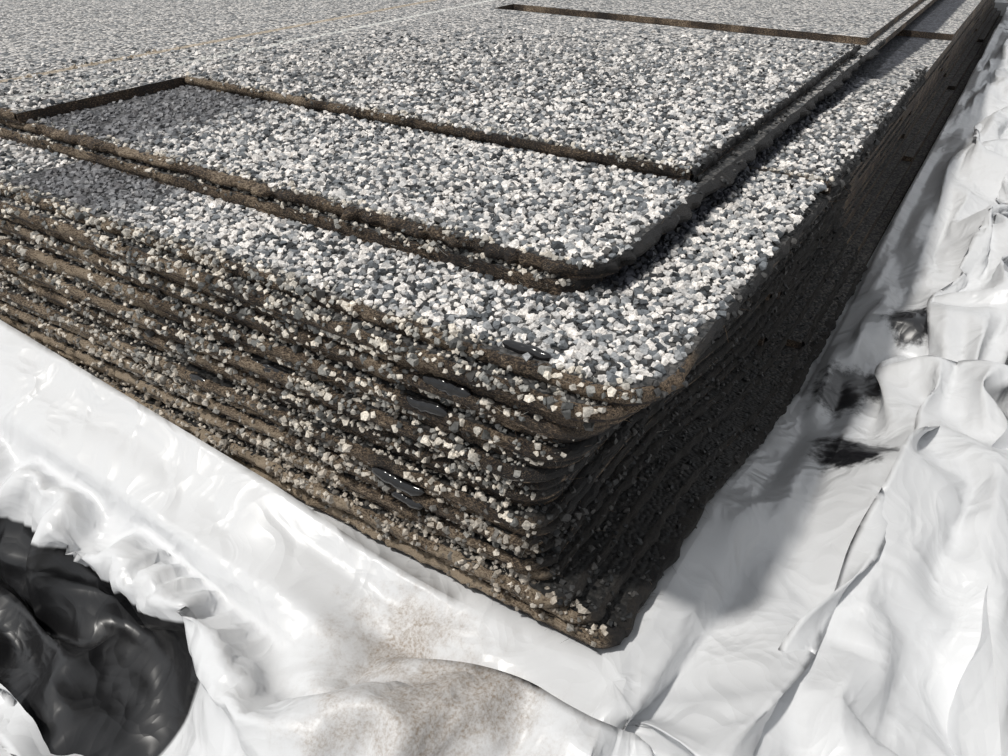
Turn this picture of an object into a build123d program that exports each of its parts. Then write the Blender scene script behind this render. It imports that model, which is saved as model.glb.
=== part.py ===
# A bundle of laminated asphalt shingles, opened and lying face up in its torn wrapper.
# Each shingle is an overlay sheet with wide teeth, bonded along a lap to a narrow backer strip
# that shows between the teeth. The shingles lie in pairs, and the lower one of each pair is
# turned end for end, so that its backer fills the half that the upper one leaves free.
# Lengths are in millimetres. u runs along the bundle from its near end, v across it.

import math
import os

from build123d import *

# One shingle
SHINGLE_LENGTH = 1000.0
SHINGLE_WIDTH = 337.0
PLY = 2.4
TOOTH_HEIGHT = 146.0
BACKER_WIDTH = 161.0

# The stack
PAIRS = 11
PLY_GAP = 0.1
BEND_RUN = 4.0
BEND_GAP = 2.5

# How the shingles have slid on each other. Near ends draw in a little downwards, and every second
# one stands out. The near side leans in below the second pair and comes back out at the lowest. The
# top backer was bonded a little askew, so that it shows beyond the teeth.
TOP_SLIDE = (19.0, 20.5)
TOP_BACKER_SLIP = (2.0, -3.2)
DRAW_IN = 1.6
STAGGER = 1.4
SHUFFLE = 0.6
LEAN_IN = 14.5
LEAN_FULL = (0.6, 0.75)

# Knocks have rounded the near corners on the side that leans in, less towards the lowest pair
TOP_WORN_CORNER = 7.0
WORN_CORNERS = (8.0, 4.0)

# Teeth, counted from the near end: where the first one starts, then teeth and cut-outs in turn
TOP_TOOTH_START = 47.0
TOP_TEETH = ((156.0, 16.0), (150.0, 98.0), (152.0, 48.0), (150.0, 90.0))
FIRST_TOOTH_STARTS = (97.0, 131.0, 150.0, 131.0, 97.0, 150.0, 131.0, 150.0, 131.0, 150.0)
TOOTH_WIDTHS = (133.0, 168.0, 112.0, 150.0, 124.0)
CUT_OUT_WIDTHS = (92.0, 24.0, 108.0, 56.0)
LEAST_TOOTH = 30.0

# Near the end the sheets bend up towards the top, because the first teeth are missing there
WEDGE_START = 30.0
WEDGE_FACETS = 8
PRESSED_SHARE = 0.9

# The wrapper, opened and pushed down around the stack
FILM = 0.5
FILM_GAP = 0.1
FILM_CLEARANCE = 1.0
SIDE_SKIRT = 56.0
NEAR_SKIRT = 68.0
FAR_SKIRT = 47.0
SKIRT_HEIGHT = 17.0
NEAR_SKIRT_HEIGHT = 24.0
NEAR_TUCK = 110.0
FILM_CORNER = 38.0
SKIRT_PROFILE = ((0.0, 0.0), (0.45, 0.14), (0.82, 0.38), (1.0, 0.7))

PITCH = PLY + PLY_GAP
HALF_WIDTH = SHINGLE_WIDTH / 2


def drift(pair, upper):
    """How far one shingle has slid from the nominal rectangle, in u and v. Pair 0 is on top."""
    if pair == 0:
        return TOP_SLIDE[0], TOP_SLIDE[1] + (0 if upper else -SHUFFLE)
    depth = (2 * (pair - 1) + (0 if upper else 1)) / (2 * PAIRS - 3)
    lean = min(depth / LEAN_FULL[0], 1.0, (1 - depth) / (1 - LEAN_FULL[1]))
    turn = 2.4 * pair + (0 if upper else 1.9)
    du = DRAW_IN * depth - (0 if upper else STAGGER) + SHUFFLE * math.sin(turn)
    dv = LEAN_IN * lean * (2 - lean) + SHUFFLE * math.cos(1.7 * turn)
    return du, dv


# The rectangle that the shingles below the top pair lie in
SLIDES = [drift(pair, upper) for pair in range(1, PAIRS) for upper in (False, True)]
STACK_U = (min(du for du, dv in SLIDES), SHINGLE_LENGTH + max(du for du, dv in SLIDES))
STACK_V = (min(dv for du, dv in SLIDES) - HALF_WIDTH, max(dv for du, dv in SLIDES) + HALF_WIDTH)

# Two backers turned head to tail fill one layer, unless they are so wide that they cross
CLOSEST = max(drift(pair, True)[1] - drift(pair, False)[1] for pair in range(PAIRS))
ROOM_TO_BEND = SHINGLE_WIDTH - 2 * BACKER_WIDTH - CLOSEST
BACKER_LAYERS = 1 if ROOM_TO_BEND >= BEND_GAP + BEND_RUN else 2
PAIR_HEIGHT = (2 + BACKER_LAYERS) * PITCH
FLOOR_OF_STACK = FILM + FILM_GAP
TOP_OF_STACK = FLOOR_OF_STACK + PAIRS * PAIR_HEIGHT

# The part's origin is under the middle of the wrapper
U_NEAR = STACK_U[0] - NEAR_SKIRT
U_FAR = max(STACK_U[1], SHINGLE_LENGTH + TOP_SLIDE[0]) + FAR_SKIRT
V_SIDE = max(STACK_V[1], HALF_WIDTH + TOP_SLIDE[1]) + SIDE_SKIRT
ORIGIN_U = (U_NEAR + U_FAR) / 2

WEDGE_STEP = (max(FIRST_TOOTH_STARTS) - WEDGE_START) / WEDGE_FACETS
STOPS = [WEDGE_START + i * WEDGE_STEP for i in range(WEDGE_FACETS + 1)]
CUT = 3 * TOP_OF_STACK


def tooth_start(pair):
    """Where the first teeth of a pair start. The top pair lies flat."""
    if pair == 0:
        return TOP_TOOTH_START + TOP_SLIDE[0]
    return FIRST_TOOTH_STARTS[(pair - 1) % len(FIRST_TOOTH_STARTS)]


def rise(pair, u):
    """How far a sheet has climbed, from 0 to 1, on its way from the backer up to a tooth."""
    if pair == 0:
        return 1.0
    s = (u - WEDGE_START) / (tooth_start(pair) - WEDGE_START)
    s = min(max(s, 0.0), 1.0)
    return 3 * s**2 - 2 * s**3


def base(pair, u):
    """Height of the surface that a pair lies on, worked out downwards from the flat top."""
    return TOP_OF_STACK - sum(
        PAIR_HEIGHT - PITCH * (1 - rise(above, u)) for above in range(pair + 1)
    )


def level(pair, plies, share=0.0, lift=0.0):
    """A height curve over the pair's base: so many plies, and a share of one more as it rises."""
    return lambda u: base(pair, u) + (plies + share * rise(pair, u)) * PITCH + lift


def points(height, u0, u1, v):
    """Points along a height curve from u0 to u1, straight outside the wedge."""
    stops = [u0, *[stop for stop in STOPS if u0 < stop < u1], u1]
    return [Vector(u, v, height(u)) for u in stops]


def section(low, high, u0, u1, v):
    """The outline of a sheet's long section at one v, between two height curves."""
    there, back = points(low, u0, u1, v), points(high, u0, u1, v)
    return Wire.make_polygon(there + back[::-1], close=True)


def slab(low, high, u0, u1, v0, v1):
    """A sheet between two height curves that stay the same across the bundle."""
    return Solid.extrude(Face(section(low, high, u0, u1, v0)), Vector(0, v1 - v0, 0))


def block(u0, u1, v0, v1):
    """A tall box for cutting right through a sheet."""
    return Pos((u0 + u1) / 2, (v0 + v1) / 2, 0) * Box(abs(u1 - u0), abs(v1 - v0), CUT)


def worn_radius(pair):
    """Radius of the worn near corners of one pair."""
    if pair == 0:
        return TOP_WORN_CORNER
    high, low = WORN_CORNERS
    return high + (low - high) * (pair - 1) / (PAIRS - 2)


def worn(u, v, radius):
    """What wear has taken off the near corner of a sheet, on the side that leans in."""
    corner = block(u - PITCH, u + radius, v - PITCH, v + radius)
    return corner - Pos(u + radius, v + radius, 0) * Cylinder(radius, CUT)


def cut_outs(pair, upper):
    """Where the overlay is cut away between its teeth, along the bundle."""
    u0 = drift(pair, upper)[0]
    u = tooth_start(pair)
    if pair == 0 and upper:
        spans = TOP_TEETH
    else:
        turn = 2 * pair + (0 if upper else 3)
        count = math.ceil(SHINGLE_LENGTH / (min(TOOTH_WIDTHS) + min(CUT_OUT_WIDTHS)))
        teeth = [TOOTH_WIDTHS[(turn + i) % len(TOOTH_WIDTHS)] for i in range(count)]
        gaps = [CUT_OUT_WIDTHS[(turn + i) % len(CUT_OUT_WIDTHS)] for i in range(count)]
        spans = tuple(zip(teeth, gaps))
    cuts = [(u0 - PITCH, u)]
    for tooth, gap in spans:
        u += tooth
        if u + gap + LEAST_TOOTH > u0 + SHINGLE_LENGTH:
            break
        cuts.append((u, u + gap))
        u += gap
    return cuts


def shingle(pair, upper):
    """Overlay and backer of one shingle. An upper one has its teeth at -v, a lower one at +v."""
    side = -1 if upper else 1
    du, dv = drift(pair, upper)
    u0, u1 = du, du + SHINGLE_LENGTH
    butt, head = dv + side * HALF_WIDTH, dv - side * HALF_WIDTH
    root, inner = butt - side * TOOTH_HEIGHT, butt - side * BACKER_WIDTH
    plies = BACKER_LAYERS if upper else 0

    low, low_top = level(pair, plies), level(pair, plies, lift=PLY)
    high, high_top = level(pair, plies, share=1), level(pair, plies, share=1, lift=PLY)
    slip_u, slip_v = TOP_BACKER_SLIP if pair == 0 and upper else (0, 0)
    backer = slab(low, low_top, u0 + slip_u, u1 + slip_u, butt + slip_v, inner + slip_v)
    if upper:
        overlay = slab(high, high_top, u0, u1, butt, head)
    else:
        # It bends down off the inner edge of its backer, onto the surface that the pair lies on
        bend_in = inner - BEND_GAP
        bend_out = bend_in - BEND_RUN
        headlap = slab(low, low_top, u0, u1, head, bend_out)
        raised_half = slab(high, high_top, u0, u1, bend_in, butt)
        down = section(low, low_top, u0, u1, bend_out)
        up = section(high, high_top, u0, u1, bend_in)
        overlay = headlap + Solid.make_loft([down, up], ruled=True) + raised_half

    # Beside the first cut-out there is room for one ply only, and the lap is pressed into it
    if pair:
        end = WEDGE_START + PRESSED_SHARE * (tooth_start(pair) - WEDGE_START)
        seam = {"plies": plies, "share": 0.5}
        seam_low = level(pair, lift=PLY / 2 - PLY_GAP / 2, **seam)
        seam_high = level(pair, lift=PLY / 2 + PLY_GAP / 2, **seam)
        below, above = level(pair, plies - 1), level(pair, plies + 1, share=1)
        overlay = overlay - slab(below, seam_high, u0 - PITCH, end, root, inner)
        backer = backer - slab(seam_low, above, u0 - PITCH, end, root, inner)

    for a, b in cut_outs(pair, upper):
        overlay = overlay - block(a, b, butt + side * PITCH, root)

    # The upper one's first cut-out leaves only its backer at the worn corner
    corner = worn(du + slip_u, dv - HALF_WIDTH + slip_v, worn_radius(pair))
    if upper:
        backer = backer - corner
    else:
        overlay = overlay - corner
    return overlay, backer


def roll(u_span, v_half, height):
    """A low bank of gathered film: a ring of shrinking outlines, from the floor to its top."""
    outlines = []
    for height_share, inset_share in SKIRT_PROFILE:
        inset = inset_share * SIDE_SKIRT
        u0, u1 = u_span[0] + inset, u_span[1] - inset
        radius = FILM_CORNER * (1 - inset_share)
        shape = RectangleRounded(u1 - u0, 2 * (v_half - inset), radius)
        outlines.append(Pos((u0 + u1) / 2, 0, height * height_share) * shape)
    return loft(Sketch() + outlines, ruled=True)


def wrapper():
    """The torn wrapper as one soft solid: the sheet under the stack and the bank around it."""
    body = roll((U_NEAR, U_FAR), V_SIDE, SKIRT_HEIGHT)
    body = body + roll((U_NEAR, NEAR_TUCK), V_SIDE, NEAR_SKIRT_HEIGHT)
    lowest = level(PAIRS - 1, 0, lift=-FILM_GAP)
    near, far = STACK_U[0] - FILM_CLEARANCE, STACK_U[1] + FILM_CLEARANCE
    right, left = STACK_V[0] - FILM_CLEARANCE, STACK_V[1] + FILM_CLEARANCE
    return body - slab(lowest, level(0, 0), near, far, right, left)


os.makedirs("parts", exist_ok=True)
number = 0
for pair in reversed(range(PAIRS)):
    for upper in (False, True):
        number += 1
        for name, piece in zip(("overlay", "backer"), shingle(pair, upper)):
            moved = piece.moved(Location((-ORIGIN_U, 0, 0)))
            export_step(moved, f"parts/shingle_{number:02d}_{name}.step")
export_step(wrapper().moved(Location((-ORIGIN_U, 0, 0))), "parts/wrapper.step")
print("shingles", number, "stack height", round(TOP_OF_STACK, 2))
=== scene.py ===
# %% [markdown]
# # An opened bundle of laminated shingles
# The solids of the stack are already made and never change here. This script dresses them: it gives
# each sheet its granules and its torn felt edges, adds the loose relief that a solid can't hold, and
# makes the thin wrapper as one crumpled sheet of film. Everything is in metres, in the solids' frame.

import math
from collections import namedtuple

import bmesh
import bpy
import numpy as np
from mathutils import Matrix, Vector


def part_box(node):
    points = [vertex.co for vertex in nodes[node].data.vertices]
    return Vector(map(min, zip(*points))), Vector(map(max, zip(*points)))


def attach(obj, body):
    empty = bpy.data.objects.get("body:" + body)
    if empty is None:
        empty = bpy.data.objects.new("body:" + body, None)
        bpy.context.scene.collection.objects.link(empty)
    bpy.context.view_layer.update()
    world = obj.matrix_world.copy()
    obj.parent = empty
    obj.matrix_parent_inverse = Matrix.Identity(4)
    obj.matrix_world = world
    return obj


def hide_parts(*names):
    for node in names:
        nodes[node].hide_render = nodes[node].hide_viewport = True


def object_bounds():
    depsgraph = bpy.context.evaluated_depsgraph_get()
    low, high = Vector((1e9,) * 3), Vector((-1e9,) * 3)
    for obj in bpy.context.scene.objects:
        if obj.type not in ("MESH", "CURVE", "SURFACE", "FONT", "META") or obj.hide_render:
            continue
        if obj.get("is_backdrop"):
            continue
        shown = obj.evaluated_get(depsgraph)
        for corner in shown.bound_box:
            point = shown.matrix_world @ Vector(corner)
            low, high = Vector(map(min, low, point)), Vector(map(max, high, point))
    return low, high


MM = 0.001
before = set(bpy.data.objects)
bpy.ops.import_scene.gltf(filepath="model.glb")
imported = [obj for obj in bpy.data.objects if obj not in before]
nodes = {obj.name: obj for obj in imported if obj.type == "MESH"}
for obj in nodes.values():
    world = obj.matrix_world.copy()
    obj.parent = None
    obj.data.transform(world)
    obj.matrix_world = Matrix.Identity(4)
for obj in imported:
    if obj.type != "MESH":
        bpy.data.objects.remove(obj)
cad_low, cad_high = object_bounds()
TOP = sum(1 for name in nodes if name.endswith("_overlay"))
print("shingles:", TOP, "box in mm:", [round(x / MM, 1) for x in cad_high - cad_low])

# %% [markdown]
# ## Where things are
# The eye goes to the near corner of the stack, so most places are measured from there: from the second
# shingle with teeth on this side, because the pair on top has slid away from the corner. A shingle's
# number counts from the floor. Even numbers have their teeth on the right, at low y, and odd ones are
# turned end for end, so that on the right they show the plain edge of their headlap. Real chips of rock
# cover the faces up to one distance from the corner, and thin out up to another.

# %% Corners of the sheets
SECOND = TOP - 2
TOOTH_HEIGHT = 146 * MM
TOP_TOOTH_START = 47 * MM
TOP_TOOTH_WIDTH = 156 * MM
FULL_COVER = 95 * MM
LAST_CHIP = 230 * MM


def sheet_box(number, part):
    """Lowest and highest corner of one shingle's overlay or backer."""
    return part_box(f"shingle_{number:02d}_{part}")


top_low, top_high = sheet_box(TOP, "overlay")
second_low, second_high = sheet_box(SECOND, "overlay")
CORNER = Vector((second_low.x, second_low.y, second_high.z))
top_root = top_low.y + TOOTH_HEIGHT
second_root = second_low.y + TOOTH_HEIGHT
tooth_start = top_low.x + TOP_TOOTH_START
tooth_end = tooth_start + TOP_TOOTH_WIDTH
print("near corner at", [round(x / MM, 1) for x in CORNER], "mm, top at", round(top_high.z / MM, 1), "mm")

# %% [markdown]
# ## Camera
# The view looks down across the near corner from close by, with a short lens, so the long sides run
# away steeply. The place and the direction were found from the size of one tooth, which is 146 mm
# tall. The place is given from the top shingle's near corner. The camera has no shift and no blur.

# %% Camera
CAMERA_FROM_CORNER = Vector((-93.5, -46.3, 47.0)) * MM
CAMERA_FORWARD = Vector((0.708, 0.443, -0.550))
CAMERA_RIGHT = Vector((0.534, -0.845, 0.006))
SENSOR = 36.0
LENS_SHARE = 765 / 1008
NEAREST_SEEN = 5 * MM

camera_data = bpy.data.cameras.new("camera")
camera_data.sensor_width = SENSOR
camera_data.lens = LENS_SHARE * SENSOR
camera_data.clip_start = NEAREST_SEEN
camera = bpy.data.objects.new("camera", camera_data)
bpy.context.scene.collection.objects.link(camera)
back = -CAMERA_FORWARD.normalized()
right = (CAMERA_RIGHT - CAMERA_RIGHT.dot(back) * back).normalized()
camera.matrix_world = Matrix((right, back.cross(right), back)).transposed().to_4x4()
camera.location = Vector((top_low.x, top_low.y, top_high.z)) + CAMERA_FROM_CORNER
bpy.context.scene.camera = camera
print("camera at", [round(x / MM, 1) for x in camera.location], "mm, lens", round(camera_data.lens, 2))

# %% [markdown]
# ## Helpers for materials
# Node trees are written as short lines: one helper adds a node and links its inputs, so that a
# material reads like a list of steps. The other helpers are the few nodes that come back everywhere.

# %% Node helpers
class Tree:
    """A node tree with short calls to add nodes and link them."""

    def __init__(self, tree):
        self.tree = tree

    def link(self, output, socket):
        """Links two sockets."""
        self.tree.links.new(output, socket)

    def add(self, kind, values=None, **settings):
        """Adds a node. Values are numbers, colours or sockets of other nodes, by input name or number."""
        node = self.tree.nodes.new(kind)
        for name, value in settings.items():
            setattr(node, name, value)
        for name, value in (values or {}).items():
            if isinstance(value, bpy.types.NodeSocket):
                self.link(value, node.inputs[name])
            else:
                node.inputs[name].default_value = value
        return node

    def group(self, node_tree, values=None):
        """Places a node group and gives its outputs."""
        return self.add("ShaderNodeGroup", values, node_tree=node_tree).outputs

    def place(self):
        """The place on the piece, in metres."""
        return self.add("ShaderNodeTexCoord").outputs["Object"]

    def axis(self, vector, number):
        """One coordinate of a vector: 0, 1 or 2 for x, y or z."""
        return self.add("ShaderNodeSeparateXYZ", {0: vector}).outputs[number]

    def away(self, place, middle):
        """Distance from a fixed place."""
        return self.add("ShaderNodeVectorMath", {0: place, 1: middle}, operation="DISTANCE").outputs["Value"]

    def math(self, operation, *values, clamp=False):
        """One step of arithmetic."""
        inputs = dict(enumerate(values))
        return self.add("ShaderNodeMath", inputs, operation=operation, use_clamp=clamp).outputs[0]

    def mix(self, share, a, b, blend="MIX"):
        """Mixes two colours."""
        inputs = {0: share, 6: a, 7: b}
        return self.add("ShaderNodeMix", inputs, data_type="RGBA", blend_type=blend).outputs[2]

    def ramp(self, value, stops, interpolation="LINEAR"):
        """A colour ramp. Stops are (place, colour)."""
        node = self.add("ShaderNodeValToRGB", {"Fac": value})
        ramp = node.color_ramp
        ramp.interpolation = interpolation
        while len(ramp.elements) < len(stops):
            ramp.elements.new(0.5)
        for element, (place, colour) in zip(ramp.elements, stops):
            element.position = place
            element.color = colour
        return node.outputs["Color"]

    def span(self, value, low, high, to_low=0.0, to_high=1.0, smooth=True):
        """Maps a value from one range to another, held at the ends."""
        inputs = {"Value": value, 1: low, 2: high, 3: to_low, 4: to_high}
        kind = "SMOOTHSTEP" if smooth else "LINEAR"
        return self.add("ShaderNodeMapRange", inputs, interpolation_type=kind).outputs[0]

    def noise(self, vector, scale, detail=3.0, roughness=0.55):
        """Soft noise around 0.5 at so many cells to the metre."""
        inputs = {"Vector": vector, "Scale": scale, "Detail": detail, "Roughness": roughness}
        return self.add("ShaderNodeTexNoise", inputs).outputs["Fac"]

    def wobble(self, vector, scale, detail, size, roughness=0.55):
        """Soft noise around 0, up to half the size each way."""
        noise = self.noise(vector, scale, detail, roughness)
        return self.math("MULTIPLY", self.math("SUBTRACT", noise, 0.5), size)

    def bump(self, height, strength, distance):
        """A normal that follows a height."""
        inputs = {"Height": height, "Strength": strength, "Distance": distance}
        return self.add("ShaderNodeBump", inputs).outputs[0]


print("node helpers:", [name for name in vars(Tree) if not name.startswith("_")])

# %% [markdown]
# ## Groups and materials
# An effect that several finishes share, such as the grain of the granules, is a node group with named
# inputs and outputs. It is built once and placed in each material. The shader itself stays in the
# material, and each material here starts with one Principled shader that is linked to the output.

# %% New groups and materials
FLOAT, COLOUR = "NodeSocketFloat", "NodeSocketColor"


def grey(value, warmth=0.0):
    """A grey, a little warmer or cooler."""
    return (value * (1 + warmth), value, value * (1 - warmth), 1.0)


def new_group(name, inputs, outputs):
    """An empty shader node group: its tree, its input node and its output node."""
    tree = bpy.data.node_groups.new(name, "ShaderNodeTree")
    for title, kind, default in inputs:
        tree.interface.new_socket(title, in_out="INPUT", socket_type=kind).default_value = default
    for title, kind in outputs:
        tree.interface.new_socket(title, in_out="OUTPUT", socket_type=kind)
    return Tree(tree), tree.nodes.new("NodeGroupInput"), tree.nodes.new("NodeGroupOutput")


def material(name):
    """A new material: itself, its tree and its Principled shader."""
    made = bpy.data.materials.new(name)
    made.use_nodes = True
    made.node_tree.nodes.clear()
    tree = Tree(made.node_tree)
    shader = tree.add("ShaderNodeBsdfPrincipled")
    tree.add("ShaderNodeOutputMaterial", {"Surface": shader.outputs[0]}, is_active_output=True)
    return made, tree, shader


print("a mid grey is", grey(0.18))

# %% [markdown]
# ## The blend of granules
# Each granule is a chip of crushed rock with a baked colour. The maker mixes a few colours: here
# near-white, light grey, mid grey and nearly black. One group turns a random number into a granule's
# colour, so that the painted surface and the modelled chips show the same blend. A band in the shade
# line of a cut-out is a darker and more even blend, so a second input moves the pick towards the dark
# end and then mixes in one grey.

# %% Granule colours
BLEND = (
    (0.00, grey(0.022, -0.08)),
    (0.07, grey(0.070, -0.10)),
    (0.17, grey(0.17, -0.08)),
    (0.31, grey(0.34, -0.03)),
    (0.47, grey(0.56, 0.02)),
    (0.66, grey(0.75, 0.04)),
    (0.85, grey(0.90, 0.05)),
)
DARK_BAND_SHIFT = 0.62
BAND_GREY = (0.215, 0.205, 0.212, 1.0)
BAND_GREY_SHARE = 0.5

colours, given, result = new_group(
    "granule blend",
    [("Pick", FLOAT, 0.5), ("Dark band", FLOAT, 0.0)],
    [("Color", COLOUR)],
)
in_band = given.outputs["Dark band"]
kept = colours.math("SUBTRACT", 1.0, colours.math("MULTIPLY", in_band, DARK_BAND_SHIFT))
pick = colours.math("MULTIPLY", given.outputs["Pick"], kept, clamp=True)
colour = colours.ramp(pick, BLEND, "CONSTANT")
colour = colours.mix(colours.math("MULTIPLY", in_band, BAND_GREY_SHARE), colour, BAND_GREY)
colours.link(colour, result.inputs["Color"])
granule_blend = colours.tree
print("granule colours in the blend:", len(BLEND))

# %% [markdown]
# ## A bed of granules as a surface
# Away from the corner the granules are smaller than a pixel, so they are a cell pattern: each cell of
# a Voronoi texture is one granule, with its own random number, and the distance to the cell's middle
# gives a rounded bump. Black asphalt shows in the seams between the cells.

# %% Granule bed
GRANULES_A_METRE = 880.0
# In shares of a cell: where a granule's dome starts and where it is full, and the same for a seam
DOME = (0.75, 0.15)
SEAM = (0.09, 0.015)

bed, given, result = new_group(
    "granule bed",
    [("Size", FLOAT, 1.0)],
    [("Pick", FLOAT), ("Height", FLOAT), ("Seam", FLOAT)],
)
scale = bed.math("DIVIDE", GRANULES_A_METRE, given.outputs["Size"])
cells = {"Vector": bed.place(), "Scale": scale, "Randomness": 1.0}
granule = bed.add("ShaderNodeTexVoronoi", cells, feature="F1")
border = bed.add("ShaderNodeTexVoronoi", cells, feature="DISTANCE_TO_EDGE")
random_number = bed.add("ShaderNodeSeparateColor", {0: granule.outputs["Color"]}).outputs[0]
bed.link(random_number, result.inputs["Pick"])
bed.link(bed.span(granule.outputs["Distance"], *DOME), result.inputs["Height"])
bed.link(bed.span(border.outputs["Distance"], *SEAM), result.inputs["Seam"])
granule_bed = bed.tree
print("a painted granule is about", round(1000 / GRANULES_A_METRE, 2), "mm across")

# %% [markdown]
# ## The felt edge
# A shingle is cut from a web of glass mat soaked in asphalt and dusted with sand on its back. Its cut
# edge is brown and fibrous, with tan dust caught in it and shiny black asphalt where it was pressed
# out. Two noises, one of them squeezed so that it runs along the plies, give fibres and patches.

# %% Felt edge
FIBRE_STRETCH = (1900.0, 1900.0, 4600.0)
FELT_PATCHES = 90.0
FELT_STOPS = (
    (0.40, (0.008, 0.006, 0.006, 1.0)),
    (0.49, (0.032, 0.022, 0.016, 1.0)),
    (0.56, (0.105, 0.073, 0.048, 1.0)),
    (0.64, (0.25, 0.185, 0.125, 1.0)),
    (0.74, (0.50, 0.40, 0.29, 1.0)),
)

felt, given, result = new_group(
    "felt edge",
    [("Dust", FLOAT, 0.0)],
    [("Color", COLOUR), ("Height", FLOAT)],
)
place = felt.place()
stretched = felt.add("ShaderNodeVectorMath", {0: place, 1: FIBRE_STRETCH}, operation="MULTIPLY").outputs[0]
fibres = felt.noise(stretched, 1.0, 5.0, 0.72)
level = felt.math("ADD", fibres, felt.wobble(place, FELT_PATCHES, 3.0, 0.5))
level = felt.math("ADD", level, given.outputs["Dust"])
felt.link(felt.ramp(level, FELT_STOPS), result.inputs["Color"])
felt.link(fibres, result.inputs["Height"])
felt_edge = felt.tree
print("felt shades:", len(FELT_STOPS))

# %% [markdown]
# ## Painted lines
# The maker paints nail lines along the headlap. Both the painted bed and the modelled chips need them,
# so a line is a group that gives 1 at one distance across the bundle, with a grainy edge, because the
# paint catches single granules.

# %% Painted lines
# Across from the top shingle's butt edge in mm, width in mm, paint
NAIL_LINES = (
    (160.0, 2.4, (0.82, 0.82, 0.78, 1.0)),
    (181.0, 3.4, (0.47, 0.38, 0.27, 1.0)),
)
LINE_COVER = 0.75
LINE_SCATTER = 3.5 * MM
LINE_FADE = 0.4 * MM

line, given, result = new_group(
    "painted line",
    [("Across", FLOAT, 0.0), ("Width", FLOAT, 0.0)],
    [("Line", FLOAT)],
)
place = line.place()
scattered = line.math("ADD", line.axis(place, 1), line.wobble(place, 900.0, 2.0, LINE_SCATTER))
away = line.math("ABSOLUTE", line.math("SUBTRACT", scattered, given.outputs["Across"]))
half = line.math("MULTIPLY", given.outputs["Width"], 0.5)
none_from = line.math("ADD", half, LINE_FADE)
full_from = line.math("SUBTRACT", half, LINE_FADE)
line.link(line.span(away, none_from, full_from), result.inputs["Line"])
painted_line = line.tree
print("nail lines:", len(NAIL_LINES))

# %% [markdown]
# ## The dark band of a cut-out
# Below the root of the teeth the backer carries a band of dark granules, which looks like the shadow
# of a thicker roof. It fades towards the butt edge with a scattered limit.

# %% Dark band
# Full up to the first distance below the root, gone from the second
BAND_FADE = (24 * MM, 46 * MM)
BAND_SCATTER = 26 * MM

band, given, result = new_group("dark band", [("Root", FLOAT, 0.0)], [("Dark band", FLOAT)])
place = band.place()
scattered = band.math("ADD", band.axis(place, 1), band.wobble(place, 160.0, 2.0, BAND_SCATTER))
below_root = band.math("SUBTRACT", given.outputs["Root"], scattered)
band.link(band.span(below_root, BAND_FADE[1], BAND_FADE[0]), result.inputs["Dark band"])
dark_band = band.tree
print("dark band fades from", [round(x / MM) for x in BAND_FADE], "mm below the root")

# %% [markdown]
# ## Shade beside the top shingle
# On the real bundle the top pair bows up a little along its right side and shades the sheet below it.
# Here it lies flat, as it would on a level floor, so that strip of shade belongs to the finish. It is
# wider further along the side.

# %% Side shade
SHADE = (0.10, 0.11, 0.14, 1.0)
SHADE_STARTS = 7 * MM
SHADE_START_FADE = (-4 * MM, 2 * MM)
SHADE_ALONG = (120 * MM, 300 * MM)
SHADE_WIDTHS = (5.6 * MM, 14 * MM)
SHADE_SCATTER = 3 * MM
SHADE_FADE = 0.7 * MM

shade, given, result = new_group("side shade", [], [("Shade", FLOAT)])
place = shade.place()
along = shade.math("SUBTRACT", shade.axis(place, 0), top_low.x + SHADE_STARTS)
width = shade.span(along, *SHADE_ALONG, *SHADE_WIDTHS, smooth=False)
away = shade.math("SUBTRACT", top_low.y, shade.axis(place, 1))
away = shade.math("ADD", away, shade.wobble(place, 420.0, 2.0, SHADE_SCATTER))
over = shade.math("SUBTRACT", away, width)
started = shade.span(along, *SHADE_START_FADE)
shade.link(
    shade.math("MULTIPLY", shade.span(over, SHADE_FADE, -SHADE_FADE), started),
    result.inputs["Shade"],
)
side_shade = shade.tree
print("shade up to", round(SHADE_WIDTHS[1] / MM), "mm wide")

# %% [markdown]
# ## The weather face
# Far away the single granules of the real sheet blur into one grey, and the colour is mixed towards a
# pale grey that is partly painted sheen, for the light that granules catch at a grazing angle. Black
# asphalt shows in the seams between the near ones. Both could be baked into pictures, but worked out
# from the place on the sheet they stay sharp from any distance. All the sheet finishes share this, so
# it is a group.

# %% Weather face
FAR_GREY_AND_SHEEN = grey(0.55, 0.02)
FAR_SHARE = 0.37
SEAM_GREY = grey(0.012)
SEAM_SHARE = 0.8

face, given, result = new_group(
    "weather face",
    [("Color", COLOUR, FAR_GREY_AND_SHEEN), ("Seam", FLOAT, 0.0)],
    [("Color", COLOUR)],
)
granules = given.outputs["Color"]
from_corner = face.away(face.place(), CORNER)
# Paler with distance from the corner: blurred granules and painted sheen
pale = face.mix(face.span(from_corner, FULL_COVER, 2 * LAST_CHIP), granules, FAR_GREY_AND_SHEEN)
blurred_with_sheen = face.mix(FAR_SHARE, granules, pale)
in_seam = face.math("MULTIPLY", given.outputs["Seam"], SEAM_SHARE)
face.link(face.mix(in_seam, blurred_with_sheen, SEAM_GREY), result.inputs["Color"])
weather_face = face.tree
print("far granules are", FAR_SHARE, "pale grey")

# %% [markdown]
# ## Dark places
# Where modelled chips cover a face, the bed under them is dark asphalt, so that no painted granule
# shows between two real ones. The ledges below the top pairs lie in the deep shade of the end face.
# That is darker than the plain light here makes it, so they are darkened in the finish.

# %% Dark places
ASPHALT = grey(0.02)
ASPHALT_SHARE = 0.9
LEDGE = (0.22, 0.21, 0.20, 1.0)
LEDGE_DEPTHS = (11.5 * MM, 13.5 * MM)

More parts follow.
